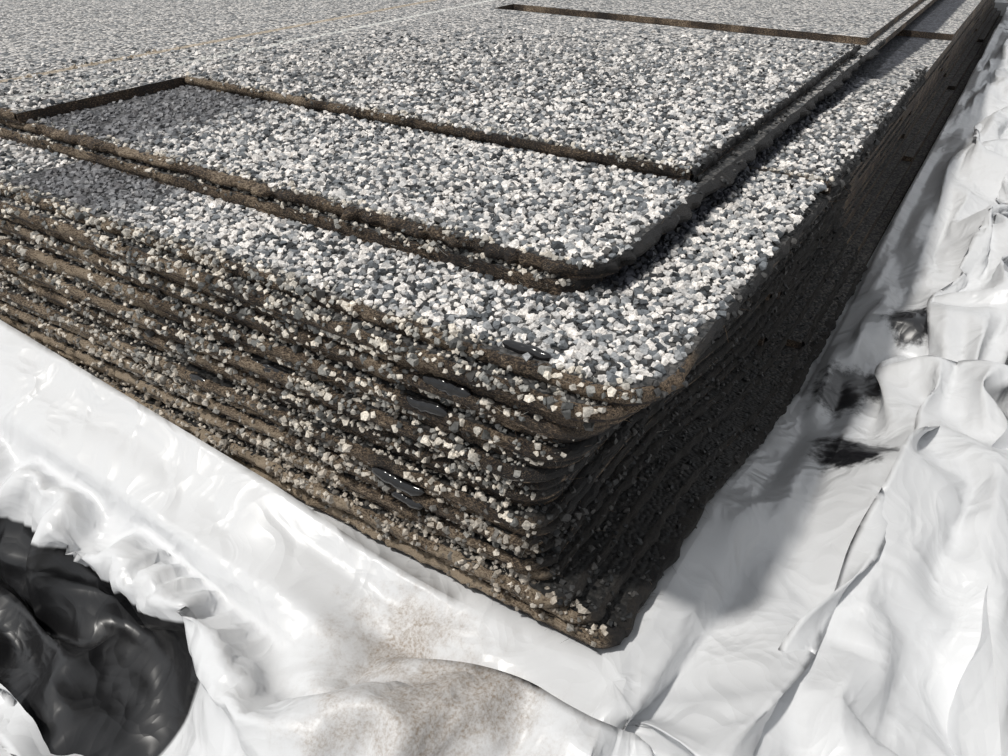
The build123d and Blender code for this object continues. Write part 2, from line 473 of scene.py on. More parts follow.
dark, given, result = new_group("dark places", [("Color", COLOUR, ASPHALT)], [("Color", COLOUR)])
place = dark.place()
under_chips = dark.span(dark.away(place, CORNER), LAST_CHIP, FULL_COVER, 0.0, ASPHALT_SHARE)
stone = dark.mix(under_chips, given.outputs["Color"], ASPHALT)
on_ledge = dark.span(dark.axis(place, 2), *[top_high.z - depth for depth in LEDGE_DEPTHS])
dark.link(dark.mix(on_ledge, stone, LEDGE, "MULTIPLY"), result.inputs["Color"])
dark_places = dark.tree
print("ledges are dark from", LEDGE_DEPTHS[1] / MM, "mm below the top")

# %% [markdown]
# ## Shingle materials
# On the real sheet the granules lie on the weather face only. The material looks at which way the
# surface faces: upward it is a bed of granules, and on the cut edges and the back it is felt. Two
# materials on each sheet would do as well, but then the faces of the solids would have to be sorted.

# %% Shingle finish
UPWARD = (0.45, 0.75)
BED_ROUGHNESS = 0.82
GRANULE_BUMP = 0.55 * MM
FELT_BUMP = 0.25 * MM


def granule_colour(tree, pick, root):
    """The colour of each granule. root is where a dark band starts, if there is one."""
    values = {"Pick": pick}
    if root is not None:
        values["Dark band"] = tree.group(dark_band, {"Root": root})["Dark band"]
    return tree.group(granule_blend, values)["Color"]


def with_bands(tree, stone, lines, shaded):
    """Paints lines over the granules, and then the shade."""
    for across, width, paint in lines:
        values = {"Across": top_low.y + across * MM, "Width": width * MM}
        covered = tree.math("MULTIPLY", tree.group(painted_line, values)["Line"], LINE_COVER)
        stone = tree.mix(covered, stone, paint)
    if shaded:
        stone = tree.mix(tree.group(side_shade)["Shade"], stone, SHADE, "MULTIPLY")
    return stone


def shingle_material(name, root=None, lines=(), shaded=False):
    """A sheet with granules on its upper side and felt on the others."""
    made, tree, shader = material(name)
    upward = tree.span(tree.axis(tree.add("ShaderNodeNewGeometry").outputs["Normal"], 2), *UPWARD)
    cells = tree.group(granule_bed)
    edge = tree.group(felt_edge)
    colour = granule_colour(tree, cells["Pick"], root)
    stone = tree.group(weather_face, {"Color": colour, "Seam": cells["Seam"]})["Color"]
    stone = with_bands(tree, stone, lines, shaded)
    stone = tree.group(dark_places, {"Color": stone})["Color"]
    tree.link(tree.mix(upward, edge["Color"], stone), shader.inputs["Base Color"])
    shader.inputs["Roughness"].default_value = BED_ROUGHNESS
    stone_height = tree.math("MULTIPLY", cells["Height"], GRANULE_BUMP)
    felt_height = tree.math("MULTIPLY", edge["Height"], FELT_BUMP)
    height = tree.mix(upward, felt_height, stone_height)
    tree.link(tree.bump(height, 1.0, 1.0), shader.inputs["Normal"])
    return made


print("bump of granules and felt in mm:", GRANULE_BUMP / MM, FELT_BUMP / MM)

# %% [markdown]
# ## A finish for each sheet
# Nearly all the sheets look alike, so one finish for the overlays and one for the backers would do.
# Only the top shingle and the second one with teeth on this side show their nail lines, a dark band
# or the strip of shade, so these four sheets have a finish of their own.

# %% Finish every sheet
plain_finish = {
    "overlay": shingle_material("overlay granules"),
    "backer": shingle_material("backer granules"),
}
own_finish = {
    (TOP, "overlay"): shingle_material("top overlay granules", lines=NAIL_LINES),
    (SECOND, "overlay"): shingle_material("second overlay granules", shaded=True),
    (TOP, "backer"): shingle_material("top backer granules", root=top_root),
    (SECOND, "backer"): shingle_material("second backer granules", root=second_root, shaded=True),
}
for number in range(1, TOP + 1):
    for part in ("overlay", "backer"):
        mesh = nodes[f"shingle_{number:02d}_{part}"].data
        mesh.materials.clear()
        mesh.materials.append(own_finish.get((number, part), plain_finish[part]))
print("materials on", 2 * TOP, "sheets")

# %% [markdown]
# ## Floor and light
# A plain pale floor and one broad key light from the upper left, with a soft sky to fill the shade.
# The key is low enough to rake over the granules, and the right side of the stack falls into shade.

# %% Floor and key light
FLOOR_SIZE = 12
FLOOR_GREY = (0.62, 0.62, 0.61, 1.0)
FLOOR_ROUGHNESS = 0.9
KEY_FROM = Vector((-0.38, 0.24, 0.89))
KEY_STRENGTH = 2.5
KEY_ANGLE = 4.0
KEY_COLOUR = (1.0, 0.965, 0.91)

bpy.ops.mesh.primitive_plane_add(size=FLOOR_SIZE)
floor = bpy.context.object
floor.name = "floor"
floor_finish, tree, shader = material("pale floor")
shader.inputs["Base Color"].default_value = FLOOR_GREY
shader.inputs["Roughness"].default_value = FLOOR_ROUGHNESS
floor.data.materials.append(floor_finish)
floor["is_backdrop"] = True

key_data = bpy.data.lights.new("key", "SUN")
key_data.energy = KEY_STRENGTH
key_data.angle = math.radians(KEY_ANGLE)
key_data.color = KEY_COLOUR
key = bpy.data.objects.new("key", key_data)
key.rotation_mode = "QUATERNION"
key.rotation_quaternion = KEY_FROM.to_track_quat("Z", "Y")
bpy.context.scene.collection.objects.link(key)
print("key light from", [round(x, 2) for x in KEY_FROM.normalized()])

# %% [markdown]
# ## Soft sky
# The sky is a plain colour that gets brighter towards one side, so that the shade has a direction. A
# picture of a real sky would do the same, but it would be a file of its own. The camera and the glossy
# rays see a brighter sky than the one that lights the stack.

# %% Soft sky
SKY = 0.36
SKY_COLOUR = (0.93, 0.96, 1.0, 1.0)
SKY_BRIGHT_SIDE = (-0.45, 0.75, 0.48)
# In cosines of the angle from the bright side
SKY_FADE = (-0.7, 1.0)
SKY_DIM_TO_BRIGHT = (0.15 * SKY, 1.8 * SKY)
SKY_SEEN = 0.9

world = bpy.data.worlds.new("soft sky")
world.use_nodes = True
world.node_tree.nodes.clear()
bpy.context.scene.world = world
sky = Tree(world.node_tree)
rays = sky.add("ShaderNodeLightPath").outputs
seen = sky.math("MAXIMUM", rays["Is Camera Ray"], rays["Is Transmission Ray"])
seen = sky.math("MAXIMUM", seen, rays["Is Glossy Ray"])
way = sky.add("ShaderNodeTexCoord").outputs["Generated"]
towards = sky.add("ShaderNodeVectorMath", {0: way, 1: SKY_BRIGHT_SIDE}, operation="DOT_PRODUCT")
glow = sky.span(towards.outputs["Value"], *SKY_FADE, *SKY_DIM_TO_BRIGHT)
strength = sky.span(seen, 0.0, 1.0, glow, SKY_SEEN, smooth=False)
light = sky.add("ShaderNodeBackground", {"Color": SKY_COLOUR, "Strength": strength})
sky.add("ShaderNodeOutputWorld", {"Surface": light.outputs[0]})
bpy.context.scene.view_settings.view_transform = "Standard"
print("sky strength from", round(SKY_DIM_TO_BRIGHT[0], 3), "to", round(SKY_DIM_TO_BRIGHT[1], 3))

# %% [markdown]
# ## Chips of rock
# Near the corner the granules are large enough to see, so there they are real chips that stand proud
# of the sheet and cast shadows. A chip is the convex hull of a few points that are spread over a ball,
# shaken and squashed a little, as crushed rock breaks. Sixteen shapes, turned and scaled at random,
# look like thousands of different ones. The random numbers come from a seeded source, so that every
# run gives the same chips.

# %% Chip shapes
CHIP_SHAPES = 16
CHIP_CORNERS = 9
CHIP_HALF_SIZES = (0.57, 0.48, 0.39)
CHIP_SHAKE = 0.24
CHIP_UNEVEN = (0.88, 1.08)
rng = np.random.default_rng(22)


def chip_shape():
    """One convex chip about 1 across: its corners and its triangles."""
    form = bmesh.new()
    rank = np.arange(CHIP_CORNERS) + 0.5
    fall, spin = np.arccos(1 - 2 * rank / CHIP_CORNERS), np.pi * (1 + 5**0.5) * rank
    corners = np.stack([np.cos(spin) * np.sin(fall), np.sin(spin) * np.sin(fall), np.cos(fall)], 1)
    corners += CHIP_SHAKE * rng.normal(size=corners.shape)
    corners /= np.linalg.norm(corners, axis=1, keepdims=True)
    corners *= rng.uniform(*CHIP_UNEVEN, size=(CHIP_CORNERS, 1)) * np.array(CHIP_HALF_SIZES)
    for corner in corners:
        form.verts.new(corner)
    hull = bmesh.ops.convex_hull(form, input=form.verts)
    bmesh.ops.delete(form, geom=hull["geom_interior"] + hull["geom_unused"], context="VERTS")
    bmesh.ops.triangulate(form, faces=form.faces)
    bmesh.ops.recalc_face_normals(form, faces=form.faces)
    form.verts.index_update()
    places = np.array([v.co[:] for v in form.verts])
    triangles = np.array([[v.index for v in face.verts] for face in form.faces])
    form.free()
    return places, triangles


chips = [chip_shape() for _ in range(CHIP_SHAPES)]
print("chip shapes:", len(chips), "with", {len(triangles) for _, triangles in chips}, "triangles each")

# %% [markdown]
# ## From arrays to pieces
# Thousands of chips are written into one mesh as arrays of places and faces, which is far quicker than
# copying objects. Each piece made here rides on the stack.

# %% Mesh builder
def mesh_piece(name, places, faces, finish, smooth=False):
    """One object from arrays of places and faces, riding on the stack."""
    mesh = bpy.data.meshes.new(name)
    corners = faces.shape[1]
    mesh.vertices.add(len(places))
    mesh.vertices.foreach_set("co", places.astype(np.float32).ravel())
    mesh.loops.add(faces.size)
    mesh.loops.foreach_set("vertex_index", faces.astype(np.int32).ravel())
    mesh.polygons.add(len(faces))
    mesh.polygons.foreach_set("loop_start", np.arange(0, faces.size, corners, dtype=np.int32))
    mesh.polygons.foreach_set("use_smooth", np.full(len(faces), smooth))
    mesh.update(calc_edges=True)
    mesh.materials.append(finish)
    piece = bpy.data.objects.new(name, mesh)
    bpy.context.scene.collection.objects.link(piece)
    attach(piece, "root")
    print(name, "triangles:", len(faces) * (corners - 2))
    return piece


def tube_faces(stations, sides):
    """Quads of a tube whose places are listed ring after ring."""
    i, j = np.meshgrid(np.arange(stations - 1), np.arange(sides), indexing="ij")
    a, b = i * sides + j, i * sides + (j + 1) % sides
    return np.stack([a, b, b + sides, a + sides], -1).reshape(-1, 4)


print("quads of a tube with 3 rings of 4:", len(tube_faces(3, 4)))

# %% [markdown]
# ## Turned and scaled chips
# Each chip gets a spin, a lean, a size and one of the shapes. numpy turns all the chips of one shape in
# one go, and their corners and triangles are put end to end, with the corner numbers moved on.

# %% Many chips in one mesh
def turns(count, tilt):
    """Random turns about z with a tilt from the flat, as rotation matrices."""
    spin, _, way = rng.uniform(0, 2 * np.pi, (3, count))
    lean = rng.normal(0, tilt, count)
    axis = np.stack([np.cos(way), np.sin(way), np.zeros(count)], 1)
    cross = np.zeros((count, 3, 3))
    cross[:, 0, 2], cross[:, 1, 2] = axis[:, 1], -axis[:, 0]
    cross[:, 2, 0], cross[:, 2, 1] = -axis[:, 1], axis[:, 0]
    sine, fall = np.sin(lean)[:, None, None], (1 - np.cos(lean))[:, None, None]
    leaning = np.eye(3) + sine * cross + fall * (cross @ cross)
    spinning = np.zeros((count, 3, 3))
    spinning[:, 0, 0] = spinning[:, 1, 1] = np.cos(spin)
    spinning[:, 0, 1], spinning[:, 1, 0] = -np.sin(spin), np.sin(spin)
    spinning[:, 2, 2] = 1
    return leaning @ spinning


def chip_mesh(name, centres, sizes, tilt, finish):
    """Chips of the given sizes at the given centres, joined in one piece."""
    count = len(centres)
    matrices = turns(count, tilt)
    kinds = rng.integers(0, CHIP_SHAPES, count)
    places, faces, used = [], [], 0
    for kind, (corners, triangles) in enumerate(chips):
        mine = np.flatnonzero(kinds == kind)
        turned = np.einsum("nij,kj->nki", matrices[mine], corners) * sizes[mine, None, None]
        places.append((turned + centres[mine, None, :]).reshape(-1, 3))
        starts = used + np.arange(len(mine))[:, None, None] * len(corners)
        faces.append((triangles[None] + starts).reshape(-1, 3))
        used += len(mine) * len(corners)
    return mesh_piece(name, np.concatenate(places), np.concatenate(faces), finish)


print("corners of the chip shapes:", {len(corners) for corners, _ in chips})

# %% [markdown]
# ## Broken stone
# A chip of crushed rock isn't one flat colour: it is mottled, and its faces are rough. Two fine noises
# do this, one for the colour and one for the height of a bump, and all the chip finishes share them.

# %% Broken stone
MOTTLE = (0.72, 1.25)
# Cells to the metre
MOTTLE_GRAIN = 2600.0
ROUGH_GRAIN = 4200.0

broken, given, result = new_group(
    "broken stone",
    [("Color", COLOUR, grey(0.5)), ("Shade", FLOAT, 1.0)],
    [("Color", COLOUR), ("Height", FLOAT)],
)
place = broken.place()
mottle = broken.span(broken.noise(place, MOTTLE_GRAIN, 2.0), 0.3, 0.7, *MOTTLE)
mottle = broken.math("MULTIPLY", mottle, given.outputs["Shade"])
values = {0: given.outputs["Color"], "Scale": mottle}
speckled = broken.add("ShaderNodeVectorMath", values, operation="SCALE")
broken.link(speckled.outputs[0], result.inputs["Color"])
broken.link(broken.noise(place, ROUGH_GRAIN, 2.0), result.inputs["Height"])
broken_stone = broken.tree
print("a chip's colour varies from", MOTTLE[0], "to", MOTTLE[1], "times")

# %% [markdown]
# ## The finish of the chips
# Each chip is an island of the mesh, and a shader can read a random number for each island. That
# number goes through the same blend as the painted surface, so that nobody sees where one ends and the
# other begins. On the end face brown dust has settled on the chips, most of it on the lower plies. The
# chips of the right side face away from the light, so their colour is darkened nearly to black as
# painted shade.

# %% Chip finish
CHIP_PICK_POWER = 0.96
CHIP_ROUGHNESS = 0.62
CHIP_BUMP = 0.08 * MM
DUSTED = (1.0, 0.965, 0.885, 1.0)
DUST_BROWN = (0.25, 0.195, 0.14, 1.0)
# Little dust from the first height up, most of it from the second down
DUST_HEIGHTS = (62 * MM, 22 * MM)
DUST_SHARES = (0.08, 0.62)
# From noise, to noise, from times, to times
DUST_UNEVEN = (0.35, 0.65, 0.5, 1.25)


def dusty(tree, stone):
    """Brown dust over the colour of the chips."""
    place = tree.place()
    stone = tree.mix(1.0, stone, DUSTED, "MULTIPLY")
    settled = tree.span(tree.axis(place, 2), *DUST_HEIGHTS, *DUST_SHARES)
    uneven = tree.span(tree.noise(place, 240.0, 3.0), *DUST_UNEVEN)
    return tree.mix(tree.math("MULTIPLY", settled, uneven, clamp=True), stone, DUST_BROWN)


def chip_material(name, root=None, shade=1.0, dust=False, lines=(), shaded=False):
    """Chips in the colours of the blend. shade darkens them all."""
    made, tree, shader = material(name)
    island = tree.add("ShaderNodeNewGeometry").outputs["Random Per Island"]
    stone = granule_colour(tree, tree.math("POWER", island, CHIP_PICK_POWER), root)
    if dust:
        stone = dusty(tree, stone)
    stone = with_bands(tree, stone, lines, shaded)
    surface = tree.group(broken_stone, {"Color": stone, "Shade": shade})
    tree.link(surface["Color"], shader.inputs["Base Color"])
    shader.inputs["Roughness"].default_value = CHIP_ROUGHNESS
    tree.link(tree.bump(surface["Height"], 0.5, CHIP_BUMP), shader.inputs["Normal"])
    return made


overlay_chips = chip_material("overlay chips")
lined_chips = chip_material("lined overlay chips", lines=NAIL_LINES)
second_chips = chip_material("second overlay chips", shaded=True)
end_chips = chip_material("end chips", shade=0.92, dust=True)
# Chips on the right side: colour darkened nearly to black as painted shade
painted_shade_butt_chips = chip_material("painted shade butt chips", shade=0.07)
top_backer_chips = chip_material("top backer chips", root=top_root)
second_backer_chips = chip_material("second backer chips", root=second_root, shaded=True)
print("dust covers", DUST_SHARES[1], "of a chip's colour at the foot of the stack")

# %% [markdown]
# ## Smooth random fields
# Worn margins and loose film both need numbers that change gently from place to place. A table of
# random numbers is laid out as an endless lattice, and the values at the four corners of a cell are
# blended inside it.

# %% Smooth fields
TABLE = 64
CELL_CORNERS = ((0, 0), (1, 0), (0, 1), (1, 1))


def corner_values(seed, cell):
    """Random values at the four corners of each cell of an endless lattice."""
    table = np.random.default_rng(seed).normal(size=(TABLE, TABLE))
    return [table[(cell[..., 0] + i) % TABLE, (cell[..., 1] + j) % TABLE] for i, j in CELL_CORNERS]


def smooth_field(places, seed):
    """Smooth random field with a cell of 1 and values around 0."""
    cell = np.floor(places).astype(int)
    share = places - cell
    share = share * share * (3 - 2 * share)
    x, y = share[..., 0], share[..., 1]
    near_left, near_right, far_left, far_right = corner_values(seed, cell)
    near, far = near_left * (1 - x) + near_right * x, far_left * (1 - x) + far_right * x
    return near * (1 - y) + far * y


def smoothstep(value, low, high):
    """0 at low and 1 at high, with a soft start and end."""
    share = np.clip((value - low) / (high - low), 0, 1)
    return share * share * (3 - 2 * share)


print("a smooth field at one place:", smooth_field(np.array([[0.5, 0.5]]), 7).round(2))

# %% [markdown]
# ## Chips on the weather faces
# The chips lie on a loosely shaken grid, which keeps them from piling up and leaves few bare spots. They
# are closest near the corner and thin out with distance, where the painted bed takes over. The middle of
# a chip lies just above the face, so that a little under half of it is pressed into the asphalt.
# Handling has rubbed most chips off a ragged margin along the cut edges.

# %% Strewing chips
CHIP_SIZE = 1.34 * MM
SIZE_SPREAD = 0.27
SIZE_LIMITS = (0.5 * MM, 2.3 * MM)
CHIP_SPACING = 1.13 * MM
CLOSE_SPACING = 0.99 * MM
GRID_SHAKE = 0.48
CHIP_RAISED = 0.06
CHIP_TILT = 0.4
WORN_MARGIN = (1.0 * MM, 0.7 * MM)
MARGIN_WAVES = 5 * MM
LEFT_ON_MARGIN = 0.2


def sizes_of(count, size=CHIP_SIZE):
    """Chip sizes: most near the usual one, a few much larger."""
    return np.clip(rng.lognormal(np.log(size), SIZE_SPREAD, count), *SIZE_LIMITS)


def strewn(x_span, y_span, z, spacing=CHIP_SPACING, cut=(0, 1)):
    """Centres of chips strewn over a rectangle. They thin out away from the near corner, and along the
    low sides named in cut, 0 for x and 1 for y, most have been rubbed off a ragged margin."""
    xs = np.arange(x_span[0], x_span[1], spacing)
    ys = np.arange(y_span[0], y_span[1], spacing)
    grid = np.stack(np.meshgrid(xs, ys, indexing="ij"), -1).reshape(-1, 2)
    grid = grid + rng.uniform(-GRID_SHAKE, GRID_SHAKE, grid.shape) * spacing
    inside = (grid[:, 0] > x_span[0]) & (grid[:, 0] < x_span[1])
    inside &= (grid[:, 1] > y_span[0]) & (grid[:, 1] < y_span[1])
    away = np.hypot(grid[:, 0] - CORNER.x, grid[:, 1] - CORNER.y)
    chance = np.clip((LAST_CHIP - away) / (LAST_CHIP - FULL_COVER), 0, 1)
    grid = grid[inside & (rng.random(len(grid)) < chance)]
    from_cut = np.min([grid[:, side] - (x_span, y_span)[side][0] for side in cut], axis=0)
    margin = WORN_MARGIN[0] + WORN_MARGIN[1] * smooth_field(grid / MARGIN_WAVES, 7)
    grid = grid[(from_cut > margin) | (rng.random(len(grid)) < LEFT_ON_MARGIN)]
    return np.column_stack([grid, np.full(len(grid), z)])


def settle(name, centres, finish):
    """Presses chips of random sizes into the face that their centres lie on."""
    sizes = sizes_of(len(centres))
    centres[:, 2] += CHIP_RAISED * sizes
    return chip_mesh(name, centres, sizes, CHIP_TILT, finish)


print("chips to the square centimetre:", round(1e-4 / CHIP_SPACING**2))

# %% [markdown]
# ## Chips on the top shingle
# Three parts of it show near the corner: the first tooth, the headlap with its painted nail lines, and
# the backer in the cut-out before the tooth. The near corner of the backer is worn round, so no chips
# lie past it. On the backers the chips lie a little closer than on the overlays.

# %% Chips on the top shingle
TOP_WORN_CORNER = 7 * MM
# In mm: the radius of the second pair and of the lowest one
WORN_CORNERS = (8, 4)


def worn_radius(number):
    """Radius of the worn near corner of one shingle, as the solids have it."""
    pair = (TOP - number) // 2
    if pair == 0:
        return TOP_WORN_CORNER
    second, lowest = WORN_CORNERS
    return (second + (lowest - second) * (pair - 1) / (TOP / 2 - 2)) * MM


def off_rounded_corner(centres, corner, radius):
    """Leaves out what lies past a rounded corner."""
    x, y = centres[:, 0] - corner.x - radius, centres[:, 1] - corner.y - radius
    return centres[~((x < 0) & (y < 0) & (np.hypot(x, y) > radius))]


far_x, left_y = top_low.x + LAST_CHIP, top_low.y + LAST_CHIP
tooth = strewn((tooth_start, tooth_end), (top_low.y, top_root), top_high.z)
settle("chips_on_top_tooth", tooth, overlay_chips)
headlap = strewn((top_low.x, far_x), (top_root, left_y), top_high.z, cut=(0,))
settle("chips_on_top_headlap", headlap, lined_chips)
backer_low, backer_high = sheet_box(TOP, "backer")
cut_out = strewn((backer_low.x, tooth_start), (backer_low.y, top_root), backer_high.z, CLOSE_SPACING)
cut_out = off_rounded_corner(cut_out, backer_low, worn_radius(TOP))
settle("chips_in_top_cut_out", cut_out, top_backer_chips)

# %% [markdown]
# ## Chips on the second shingle
# The top pair covers most of it. Chips under a sheet would never be seen, so only the strip along the
# near end and the strip along the right side are strewn, a few millimetres in under the top pair.

# %% Chips on the second shingle
# Where its first tooth starts and ends, as the solids have it
SECOND_TOOTH = (second_low.x + 97 * MM, second_low.x + 209 * MM)
HIDDEN_EDGE = 6 * MM
STEP_GAP = 1.5 * MM
TOOTH_GAP = 0.4 * MM
END_GAP = 0.8 * MM
SIDE_GAP = 0.5 * MM
CORNER_GAP = 5 * MM

hidden_from = top_low.x + HIDDEN_EDGE, top_low.y + HIDDEN_EDGE
backer_low = sheet_box(SECOND, "backer")[0]
end_strip = strewn(
    (backer_low.x + END_GAP, hidden_from[0]),
    (backer_low.y + SIDE_GAP, second_root - STEP_GAP),
    CORNER.z,
    CLOSE_SPACING,
)
side_strip = strewn(
    (hidden_from[0], SECOND_TOOTH[0] - STEP_GAP),
    (backer_low.y, hidden_from[1]),
    CORNER.z,
    CLOSE_SPACING,
    cut=(1,),
)
shown = np.concatenate([end_strip, side_strip])
shown = off_rounded_corner(shown, backer_low, worn_radius(SECOND) + CORNER_GAP)
settle("chips_on_second_backer", shown, second_backer_chips)
end_strip = strewn((second_low.x, hidden_from[0]), (second_root, left_y), CORNER.z, cut=(0,))
side_strip = strewn(
    (SECOND_TOOTH[0] + TOOTH_GAP, SECOND_TOOTH[1]),
    (second_low.y, hidden_from[1]),
    CORNER.z,
)
shown = np.concatenate([end_strip, side_strip])
settle("chips_on_second_overlay", shown, second_chips)

# %% [markdown]
# ## The edges of the sheets
# A cut edge isn't a clean wall. The felt frays, asphalt squeezes out, and granules cling to the top
# arris. First the outlines are laid out as stations with an outward way each: down the near end, round
# the worn corner and along the side. The heights come from the solids themselves, because the sheets
# climb near the end.

# %% Stations along the edges
NEAR_REACH = 215 * MM
SIDE_REACH = 235 * MM
STEP = 0.75 * MM
SIDE_STEP = 1.5 * MM
TO_THE_END = (-1.0, 0.0)
TO_THE_SIDE = (0.0, -1.0)


def heights(number, part):
    """A function of x that gives underside and top of a sheet, read from the sheet's own corners."""
    mesh = nodes[f"shingle_{number:02d}_{part}"].data
    places = np.empty(len(mesh.vertices) * 3, np.float32)
    mesh.vertices.foreach_get("co", places)
    places = places.reshape(-1, 3)
    side = places[places[:, 1] < places[:, 1].min() + 0.01 * MM]
    stations = np.unique(np.round(side[:, 0], 5))
    levels = [side[np.abs(side[:, 0] - x) < 0.02 * MM][:, 2] for x in stations]
    low, high = np.array([z.min() for z in levels]), np.array([z.max() for z in levels])

    def curve(x):
        return np.interp(x, stations, low), np.interp(x, stations, high)

    return curve


def straight(xs, ys, way):
    """Stations along one straight edge: places and outward ways."""
    places = np.column_stack(np.broadcast_arrays(xs, ys))
    return places, np.tile(way, (len(places), 1))


def side_outline(x0, x1, y, step):
    """Stations along an edge that faces the right side."""
    return straight(np.arange(x0, x1, step), y, TO_THE_SIDE)


def end_outline(x, y0, y1):
    """Stations down an edge that faces the near end."""
    return straight(x, np.arange(y1, y0, -STEP), TO_THE_END)


def rounded_outline(low, radius):
    """Stations along the near end, round the worn corner and along the side."""
    turn = np.linspace(0, np.pi / 2, max(int(radius * np.pi / 2 / STEP), 3))
    cos, sin = np.cos(turn), np.sin(turn)
    x, y = low.x + radius - radius * cos, low.y + radius - radius * sin
    down = end_outline(low.x, low.y + radius, low.y + NEAR_REACH)
    round_corner = np.column_stack([x, y]), np.column_stack([-cos, -sin])
    along = side_outline(low.x + radius, low.x + SIDE_REACH, low.y, SIDE_STEP)
    return [np.concatenate(parts) for parts in zip(down, round_corner, along)]


def waves(count, scale):
    """A random wavy line: noise that changes over so many millimetres."""
    knots = max(int(count * STEP / (scale * MM)), 3) + 3
    return np.interp(np.linspace(0, knots - 1, count), np.arange(knots), rng.normal(size=knots))


print("stations round one worn corner:", len(rounded_outline(top_low, TOP_WORN_CORNER)[0]))

# %% [markdown]
# ## Which edges show
# On this side every shingle shows one long outline: its backer if its teeth are here, or else the
# headlap of its overlay. A shingle with its teeth here also shows the butt edges of the teeth and the
# end of its headlap. The side walls of the first tooth show only on the upper pairs.

# %% Edges that show
# Where the first teeth below the top pair start, from the sheet's end in mm, as the solids have them
TOOTH_STARTS = (97, 131, 150, 131, 97, 150, 131, 150, 131, 150)
HEADLAP_SHOWN = 80 * MM
FINE_PAIRS = 2

Edge = namedtuple("Edge", "number part places ways curve")
edges = []
for number in range(1, TOP + 1):
    part = "backer" if number % 2 == 0 else "overlay"
    low = sheet_box(number, part)[0]
    edges.append(Edge(number, part, *rounded_outline(low, worn_radius(number)), heights(number, part)))
for number in range(2, TOP + 1, 2):
    low = sheet_box(number, "overlay")[0]
    pair = (TOP - number) // 2
    start = tooth_start if pair == 0 else low.x + TOOTH_STARTS[pair - 1] * MM
    stop = tooth_end if pair == 0 else low.x + SIDE_REACH
    root = low.y + TOOTH_HEIGHT
    outlines = [
        side_outline(start, stop, low.y, STEP if pair < FINE_PAIRS else SIDE_STEP),
        end_outline(low.x, root, root + HEADLAP_SHOWN),
    ]
    if pair < FINE_PAIRS:
        outlines.append(end_outline(start, low.y, root))
    curve = heights(number, "overlay")
    edges += [Edge(number, "overlay", places, ways, curve) for places, ways in outlines]
print("edges with a lip:", len(edges), "stations:", sum(len(edge.places) for edge in edges))

# %% [markdown]
# ## Felt lips
# Along each edge near the corner runs a lip: a ragged skin that bulges out of the wall and laps a
# little way onto the top face. It could be a displaced wall, but the solids stay as they are, so each
# lip is a closed strip of its own, lofted along the outline of its sheet from one small section.

# %% Shape of the lips
# Outwards in shares of the lip's reach, or inwards in shares of its lap, and upwards in plies
LIP_SECTION = (
    (-0.6, 0.14),
    (0.35, 0.22),
    (0.9, 0.46),
    (1.0, 0.70),
    (0.74, 0.91),
    (0.2, 1.02),
    (-0.4, 1.04),
    (-1.0, 0.94),
)
LIP_OUT = 0.95 * MM
LIP_LAP = 1.5 * MM
LOWEST_LAP = 2.8 * MM
SIDE_LAP = 0.5
LIP_RAGGED = 0.09 * MM
# The top backer stands out further, and the shingle below it hardly shows
LIP_SHARES = {(TOP, "backer"): 2.2, (TOP - 1, "overlay"): 0.25}


# A ragged line is a sum of a few wavy lines, each with waves of another length in mm
def ragged_reach(count):
    """How far a lip bulges at each station, around 1."""
    bulge = 0.75 + 0.18 * waves(count, 9) + 0.28 * waves(count, 2.4) + 0.32 * waves(count, 0.9)
    return np.clip(bulge, 0.15, 1.6)


def lip(edge, bulge):
    """The corners and faces of one ragged lip."""
    count, ring = len(edge.places), len(LIP_SECTION)
    low, high = edge.curve(edge.places[:, 0])
    thick = high - low
    lap = np.clip(0.7 + 0.3 * waves(count, 5) + 0.3 * waves(count, 1.2), 0.15, 1.7)
    lap = lap * (LOWEST_LAP if edge.number == 1 else LIP_LAP)
    if edge.number > 1:
        lap = lap * (1 + (SIDE_LAP - 1) * -edge.ways[:, 1])
    sag = 0.1 * waves(count, 14) + 0.07 * waves(count, 1.6)
    rings = []
    for out, up in LIP_SECTION:
        reach = out * LIP_OUT * bulge if out > 0 else out * lap
        ragged = LIP_RAGGED * rng.normal(size=count)
        height = low + thick * up + (sag * thick * 0.35 if 0.1 < up < 0.9 else 0)
        if out < 0 and up > 0.9:
            height = high + (0.10 * MM + 0.05 * MM * waves(count, 1.0)) * (1 if up > 1 else -2.5)
        places = edge.places + edge.ways * (reach + ragged)[:, None]
        rings.append(np.column_stack([places, height + ragged]))
    return np.stack(rings, 1).reshape(-1, 3), tube_faces(count, ring)[:, [0, 3, 2, 1]]


reaches = [LIP_SHARES.get((edge.number, edge.part), 1.0) * ragged_reach(len(edge.places)) for edge in edges]
print("mean reach of the lips in mm:", round(float(np.concatenate(reaches).mean()) * LIP_OUT / MM, 2))

# %% [markdown]
# ## The finish of the lips
# The lips take the felt group with dust that settles towards the floor and away from the corner, sandy
# specks, and a worn tan patch at the corner. The ones that face the right side are darkened nearly to
# black as painted shade, for the deep shade of that side.

# %% Finish of the lips
LIP_SPECKS = (0.42, 0.33, 0.23, 1.0)
WORN_TAN = (0.34, 0.25, 0.17, 1.0)
SIDE_SHADE_BLACK = (0.006, 0.006, 0.007, 1.0)
WORN_AT = CORNER + Vector((5, 5, -1)) * MM
WORN_REACH = (13 * MM, 7 * MM)
SIDE_SHADE_SHARE = 0.95
LIP_ROUGHNESS = 0.9
FUZZ_BUMP = 0.8 * MM
# Each is (from place, to place, from dust, to dust)
DUST_TO_FLOOR = (52 * MM, 28 * MM, 0.012, 0.18)
DUST_FROM_CORNER = (CORNER.y + 30 * MM, CORNER.y + 110 * MM, 0.0, 0.12)
CLEAN_TOP = (top_high.z - 9 * MM, top_high.z - 7 * MM, 0.0, 0.03)

